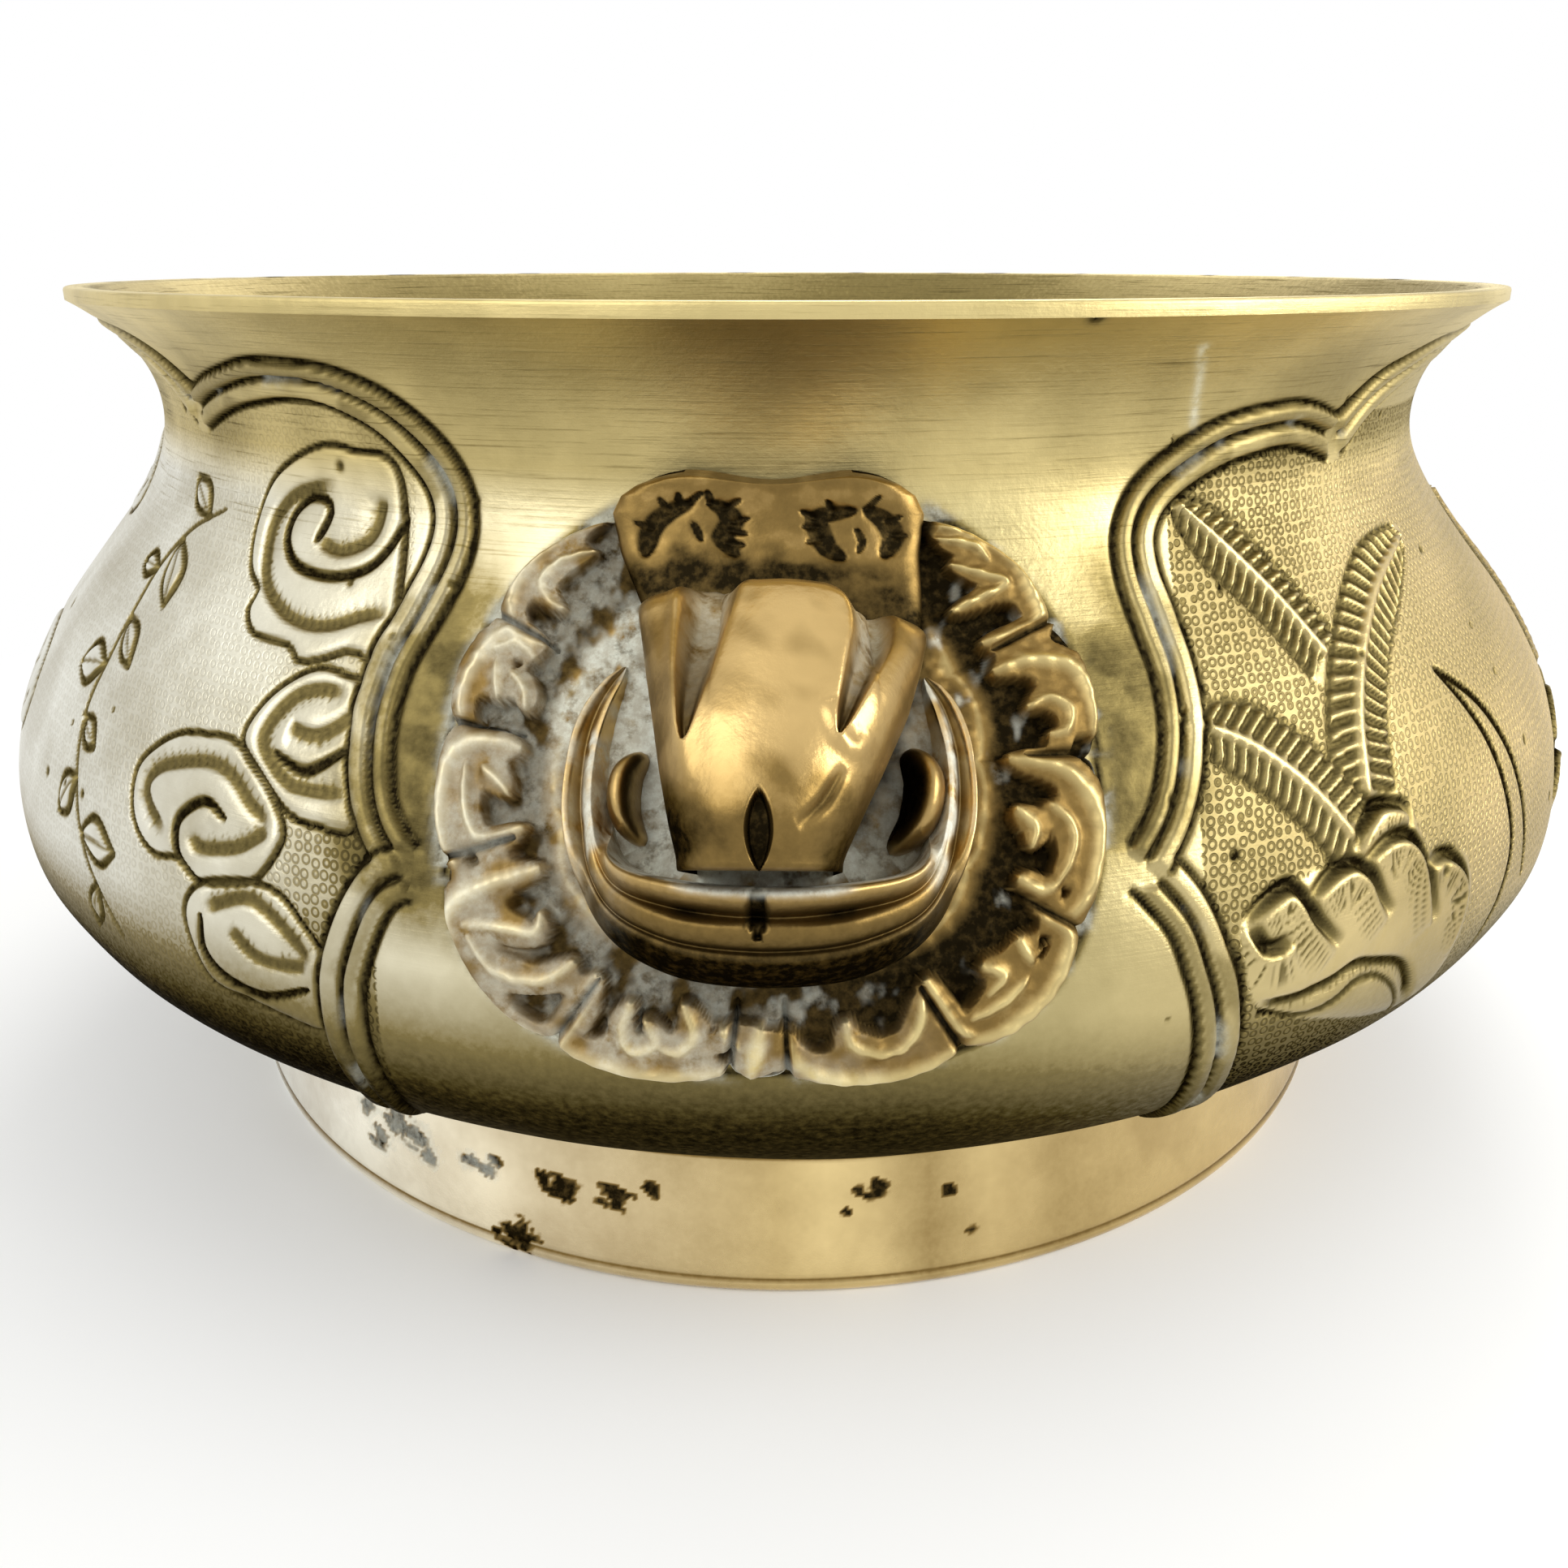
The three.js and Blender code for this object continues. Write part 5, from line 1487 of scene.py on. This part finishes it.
def brass(name, tone, roughness, tarnish, sided=False, neck=None, rings=0.0, brushed=0.0):
    """Brass under tarnish, patina and residue, paler to its left as a painted highlight, warmer to its
    right, toned on a neck, and with tool marks.
    """
    finish = settings()[2]
    material = bpy.data.materials.new(name)
    material.use_nodes = True
    tree = material.node_tree
    tree.nodes.clear()
    coords = add(tree, "TexCoord", {})
    solid, flat = coords["Object"], coords["UV"]
    place = add(tree, "SeparateXYZ", {"Vector": solid})
    keys = ("dark", "green", "punched")
    dark, green, punched = (add(tree, "Attribute", {}, attribute_name=key)["Fac"] for key in keys)
    base = tone
    if sided:
        # Paler to the left: a painted highlight.
        pale = add(tree, "MapRange", {"Value": place["X"], **PALE_LIT_SIDE})["Result"]
        base = add(tree, "Mix", {0: pale, 6: base, 7: finish.pale}, data_type="RGBA")[2]
        warm = add(tree, "MapRange", {"Value": place["X"], **WARM_SIDE})["Result"]
        base = add(tree, "Mix", {0: warm, 6: base, 7: finish.polished}, data_type="RGBA")[2]
    if neck is not None:
        share = add(tree, "MapRange", {"Value": place["Z"], **NECK_START})["Result"]
        base = add(tree, "Mix", {0: share, 6: base, 7: neck}, data_type="RGBA")[2]
        roughness = add(tree, "Math", {0: share, 1: NECK_ROUGH, 2: roughness}, operation="MULTIPLY_ADD")[0]
    patches = add(tree, "TexNoise", {"Vector": solid, **PATCHES})["Fac"]
    worn = add(tree, "MapRange", {"Value": patches, **WORN_SPREAD})["Result"]
    base = add(tree, "Mix", {0: worn, 6: base, 7: tarnish}, data_type="RGBA")[2]
    grain = add(tree, "TexNoise", {"Vector": solid, **GRAIN})["Fac"]
    relief = add(tree, "Math", {0: grain, 1: GRAIN_DEPTH}, operation="MULTIPLY")[0]
    shade = add(tree, "MapRange", {"Value": grain, **GRAIN_SHADES})["Result"]
    shade = add(tree, "Math", {0: dark, 1: shade}, operation="MULTIPLY", use_clamp=True)[0]
    if rings:
        away = add(tree, "TexVoronoi", {"Vector": flat, **RINGS})["Distance"]
        soft = {"interpolation_type": "SMOOTHSTEP"}
        inner = add(tree, "MapRange", {"Value": away, **RING_INNER_EDGE}, **soft)["Result"]
        outer = add(tree, "MapRange", {"Value": away, **RING_OUTER_EDGE}, **soft)["Result"]
        ring = add(tree, "Math", {0: inner, 1: outer}, operation="MULTIPLY")[0]
        ring = add(tree, "Math", {0: ring, 1: punched}, operation="MULTIPLY")[0]
        relief = add(tree, "Math", {0: ring, 1: -rings, 2: relief}, operation="MULTIPLY_ADD")[0]
        shade = add(tree, "Math", {0: punched, 1: PUNCHED_SHADE, 2: shade}, operation="MULTIPLY_ADD")[0]
        inputs = {0: ring, 1: RING_SHADE, 2: shade}
        shade = add(tree, "Math", inputs, operation="MULTIPLY_ADD", use_clamp=True)[0]
        inputs = {0: punched, 1: PUNCHED_ROUGH, 2: roughness}
        roughness = add(tree, "Math", inputs, operation="MULTIPLY_ADD")[0]
    if brushed:
        along = add(tree, "Mapping", {"Vector": flat, **BRUSHING})["Vector"]
        streak = add(tree, "TexNoise", {"Vector": along, **STREAKS})["Fac"]
        relief = add(tree, "Math", {0: streak, 1: brushed, 2: relief}, operation="MULTIPLY_ADD")[0]
        mark = add(tree, "MapRange", {"Value": streak, **STREAK_SPREAD})["Result"]
        if neck is not None:
            band = add(tree, "MapRange", {"Value": place["Z"], **BRUSHED_START})["Result"]
            mark = add(tree, "Math", {0: mark, 1: band}, operation="MULTIPLY")[0]
        shade = add(tree, "Math", {0: shade, 1: mark}, operation="ADD", use_clamp=True)[0]
    crust = add(tree, "TexNoise", {"Vector": solid, **CRUST})["Fac"]
    crust = add(tree, "MapRange", {"Value": crust, **CRUST_SPREAD})["Result"]
    crust = add(tree, "Math", {0: crust, 1: green}, operation="MULTIPLY", use_clamp=True)[0]
    thin = add(tree, "MapRange", {"Value": shade, **TARNISH_SPREAD})["Result"]
    thick = add(tree, "MapRange", {"Value": shade, **PATINA_SPREAD})["Result"]
    stained = add(tree, "Mix", {0: thin, 6: base, 7: tarnish}, data_type="RGBA")[2]
    stained = add(tree, "Mix", {0: thick, 6: stained, 7: finish.patina}, data_type="RGBA")[2]
    chalk = add(tree, "TexNoise", {"Vector": solid, **CHALK})["Fac"]
    chalk = add(tree, "MapRange", {"Value": chalk, **CHALK_SPREAD})["Result"]
    chalk = add(tree, "Mix", {0: chalk, 6: finish.verdigris, 7: tarnish}, data_type="RGBA")[2]
    crusted = add(tree, "Mix", {0: crust, 6: stained, 7: chalk}, data_type="RGBA")[2]
    rough = add(tree, "Math", {0: shade, 1: PATINA_ROUGH, 2: roughness}, operation="MULTIPLY_ADD")[0]
    inputs = {0: crust, 1: CRUST_ROUGH, 2: rough}
    rough = add(tree, "Math", inputs, operation="MULTIPLY_ADD", use_clamp=True)[0]
    inputs = {0: crust, 1: CRUST_METAL, 2: 1.0}
    metal = add(tree, "Math", inputs, operation="MULTIPLY_ADD", use_clamp=True)[0]
    sheen = add(tree, "Mix", {0: thick, 6: (1, 1, 1, 1), 7: finish.patina}, data_type="RGBA")[2]
    bumped = add(tree, "Bump", {"Height": relief, "Distance": MM, "Strength": 1.0})["Normal"]
    look = {
        "Base Color": crusted,
        "Metallic": metal,
        "Roughness": rough,
        "Specular Tint": sheen,
        "Normal": bumped,
    }
    add(tree, "OutputMaterial", {"Surface": add(tree, "BsdfPrincipled", look)["BSDF"]})
    return material


def chased_brass():
    """Aged yellow brass of the wall: soft satin, ring-punched, brushed on the neck, dark in its lines."""
    finish = settings()[2]
    marks = {"neck": finish.neck, "rings": 0.1, "brushed": 0.04}
    return brass("chased aged brass", finish.wall, 0.3, finish.tarnish, sided=True, **marks)


def sooted_brass():
    """Brass inside the bowl and under it: duller, browned by ash, with turning marks."""
    finish = settings()[2]
    return brass("sooted turned brass", finish.neck, 0.4, finish.tarnish, brushed=0.05)


def rubbed_brass():
    """Brighter brass of the foot: rubbed by handling, pitted, with darker bands round it that are painted
    reflections.
    """
    finish = settings()[2]
    return brass("rubbed pitted brass", finish.foot, 0.22, finish.brown, sided=True)


def cast_brass():
    """Cast brass of the manes: grainy, golden on the ridges and nearly black in the hollows."""
    finish = settings()[2]
    return brass("cast brass with patina", finish.neck, 0.42, finish.brown, sided=True)


def polished_brass():
    """Warm brass of crest, nose and jaw: rubbed smooth, with a soft shine."""
    finish = settings()[2]
    return brass("polished warm brass", finish.polished, 0.28, finish.brown)


# Stage

CAMERA_PLACE = (0.00341, -0.22997, 0.1268)
CAMERA_DOWN = math.radians(18.97)
CAMERA_TURN = math.radians(0.85)
CAMERA_SHIFT = (-0.002, -0.052)
CLIP_START = 0.01
FOCAL_PIXELS = 1600
SENSOR = 36

# The floor turns white between these distances from its middle, sooner in reflections
FADE_START, FADE_REFLECTED, FADE_SEEN = 0.09, 0.11, 0.32
# Strength of the surround as light, and how much darker it is seen up behind the camera
STUDIO_LIGHT = 0.8
STUDIO_DIM = 0.15
# The headings over which that dimming sets in
BEHIND_CAMERA = {"From Min": -0.3, "From Max": -0.9}
ABOVE_CAMERA = {"From Min": 0.02, "From Max": 0.3}
# Lamps: name, place, size and power
LAMPS = [
    ("key lamp", (-0.55, -0.55, 0.75), 0.8, 3.5),
    ("fill lamp", (0.75, -0.3, 0.45), 0.5, 5.0),
    ("back lamp", (0.1, 0.7, 0.8), 0.6, 4.0),
]


def seen_rays(tree):
    """Marks of rays from the camera, and of all rays whose end is seen, also in reflections."""
    ray = add(tree, "LightPath", {})
    seen = ray["Is Camera Ray"]
    for key in ("Is Glossy Ray", "Is Transmission Ray"):
        seen = add(tree, "Math", {0: seen, 1: ray[key]}, operation="MAXIMUM")[0]
    return ray["Is Camera Ray"], seen


def build_floor(tone):
    """A matt floor that fades to white round the object."""
    bpy.ops.object.select_all(action="DESELECT")
    bpy.ops.mesh.primitive_plane_add(size=6)
    floor = bpy.context.object
    floor.name = "floor"
    material = bpy.data.materials.new("pale matt floor")
    material.use_nodes = True
    tree = material.node_tree
    tree.nodes.clear()
    matt = add(tree, "BsdfDiffuse", {"Color": tone})["BSDF"]
    camera_ray, seen = seen_rays(tree)
    place = add(tree, "TexCoord", {})["Object"]
    away = add(tree, "VectorMath", {0: place}, operation="LENGTH")["Value"]
    ends = {0: camera_ray, 2: FADE_REFLECTED, 3: FADE_SEEN}
    fade_end = add(tree, "Mix", ends, data_type="FLOAT")[0]
    fade = add(tree, "MapRange", {"Value": away, "From Min": FADE_START, "From Max": fade_end})["Result"]
    fade = add(tree, "Math", {0: fade, 1: seen}, operation="MULTIPLY")[0]
    white = add(tree, "Emission", {"Color": (1, 1, 1, 1), "Strength": 1.0})["Emission"]
    blend = add(tree, "MixShader", {0: fade, 1: matt, 2: white})["Shader"]
    add(tree, "OutputMaterial", {"Surface": blend})
    floor.data.materials.append(material)
    return floor


def build_surround():
    """A white surround, a little dimmer up behind the camera."""
    world = bpy.context.scene.world or bpy.data.worlds.new("studio")
    bpy.context.scene.world = world
    world.use_nodes = True
    tree = world.node_tree
    tree.nodes.clear()
    _, seen = seen_rays(tree)
    heading = add(tree, "SeparateXYZ", {"Vector": add(tree, "TexCoord", {})["Generated"]})
    behind = add(tree, "MapRange", {"Value": heading["Y"], **BEHIND_CAMERA})["Result"]
    above = add(tree, "MapRange", {"Value": heading["Z"], **ABOVE_CAMERA})["Result"]
    dim = add(tree, "Math", {0: behind, 1: above}, operation="MULTIPLY")[0]
    sky = add(tree, "Math", {0: dim, 1: -STUDIO_DIM, 2: 1.0}, operation="MULTIPLY_ADD")[0]
    level = add(tree, "Mix", {0: seen, 2: STUDIO_LIGHT, 3: sky}, data_type="FLOAT")[0]
    light = add(tree, "Background", {"Color": (1, 1, 1, 1), "Strength": level})["Background"]
    add(tree, "OutputWorld", {"Surface": light})


def build_stage():
    """A pale floor, a white surround, three soft lamps and the camera."""
    floor = build_floor(settings()[2].floor)
    build_surround()
    for name, place, size, power in LAMPS:
        bpy.ops.object.light_add(type="AREA", location=place)
        lamp = bpy.context.object
        lamp.name = name
        lamp.data.size = size
        lamp.data.energy = power
        aim = floor.location - lamp.location
        lamp.rotation_euler = aim.to_track_quat("-Z", "Y").to_euler()

    bpy.ops.object.camera_add(location=CAMERA_PLACE, rotation=(math.pi / 2 - CAMERA_DOWN, 0, CAMERA_TURN))
    camera = bpy.context.object
    camera.data.sensor_width = SENSOR
    camera.data.lens = SENSOR * FOCAL_PIXELS / PHOTO_SIZE
    camera.data.shift_x, camera.data.shift_y = CAMERA_SHIFT
    camera.data.clip_start = CLIP_START
    bpy.context.scene.camera = camera
    bpy.context.scene.view_settings.view_transform = "Standard"


# Operators


class CENSER_OT_bowl(bpy.types.Operator):
    """Builds the chased bowl with its lining"""

    bl_idname = "censer.bowl"
    bl_label = "Bowl"
    bl_options = {"REGISTER", "UNDO"}

    def execute(self, context):
        bowl, mask, _ = settings()
        build_bowl(Outline(bowl), mask, chased_brass(), sooted_brass())
        return {"FINISHED"}


class CENSER_OT_foot(bpy.types.Operator):
    """Builds the foot ring"""

    bl_idname = "censer.foot"
    bl_label = "Foot Ring"
    bl_options = {"REGISTER", "UNDO"}

    def execute(self, context):
        build_foot(Outline(settings()[0]), rubbed_brass())
        return {"FINISHED"}


class CENSER_OT_manes(bpy.types.Operator):
    """Builds the lobed manes of both masks"""

    bl_idname = "censer.manes"
    bl_label = "Manes"
    bl_options = {"REGISTER", "UNDO"}

    def execute(self, context):
        bowl, mask, _ = settings()
        build_mane(Outline(bowl), mask, cast_brass())
        return {"FINISHED"}


class CENSER_OT_heads(bpy.types.Operator):
    """Builds crest and nose of both masks"""

    bl_idname = "censer.heads"
    bl_label = "Upper Heads"
    bl_options = {"REGISTER", "UNDO"}

    def execute(self, context):
        bowl, mask, _ = settings()
        build_head(Outline(bowl), mask, polished_brass())
        return {"FINISHED"}


class CENSER_OT_jaws(bpy.types.Operator):
    """Builds the lower jaws of both masks"""

    bl_idname = "censer.jaws"
    bl_label = "Lower Jaws"
    bl_options = {"REGISTER", "UNDO"}

    def execute(self, context):
        bowl, mask, _ = settings()
        build_jaw(Outline(bowl), mask, polished_brass())
        return {"FINISHED"}


class CENSER_OT_washers(bpy.types.Operator):
    """Gives the washers inside the wall their finish"""

    bl_idname = "censer.washers"
    bl_label = "Washers"
    bl_options = {"REGISTER", "UNDO"}

    def execute(self, context):
        material = sooted_brass()
        for side in ("front", "rear"):
            for fixing in ("head", "jaw"):
                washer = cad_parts[f"{side}_{fixing}_washer"]
                washer.data.materials.clear()
                washer.data.materials.append(material)
        return {"FINISHED"}


class CENSER_OT_stage(bpy.types.Operator):
    """Builds the floor, the light and the camera"""

    bl_idname = "censer.stage"
    bl_label = "Stage"
    bl_options = {"REGISTER", "UNDO"}

    def execute(self, context):
        build_stage()
        return {"FINISHED"}


class CENSER_PT_panel(bpy.types.Panel):
    """Sizes, colours and build steps of the censer"""

    bl_label = "Bronze Censer"
    bl_idname = "CENSER_PT_panel"
    bl_space_type = "VIEW_3D"
    bl_region_type = "UI"
    bl_category = "Censer"

    def draw(self, context):
        for group in settings():
            box = self.layout.box()
            for key in group.__annotations__:
                box.prop(group, key)
        for step in STEPS:
            self.layout.operator(step.bl_idname)


STEPS = (
    CENSER_OT_bowl,
    CENSER_OT_foot,
    CENSER_OT_manes,
    CENSER_OT_heads,
    CENSER_OT_jaws,
    CENSER_OT_washers,
    CENSER_OT_stage,
)
GROUPS = {
    "censer_bowl": CenserBowlSettings,
    "censer_mask": CenserMaskSettings,
    "censer_finish": CenserFinishSettings,
}


def register():
    """Registers the classes, and gives every scene the settings."""
    for kind in (*GROUPS.values(), *STEPS, CENSER_PT_panel):
        bpy.utils.register_class(kind)
    for name, group in GROUPS.items():
        setattr(bpy.types.Scene, name, bpy.props.PointerProperty(type=group))


def unregister():
    """Takes the settings and the classes away again."""
    for name in GROUPS:
        delattr(bpy.types.Scene, name)
    for kind in reversed((*GROUPS.values(), *STEPS, CENSER_PT_panel)):
        bpy.utils.unregister_class(kind)


def main():
    """Builds the censer and its stage."""
    register()
    bpy.ops.censer.bowl()
    bpy.ops.censer.foot()
    bpy.ops.censer.manes()
    bpy.ops.censer.heads()
    bpy.ops.censer.jaws()
    bpy.ops.censer.washers()
    bpy.ops.censer.stage()


if __name__ == "__main__":
    main()
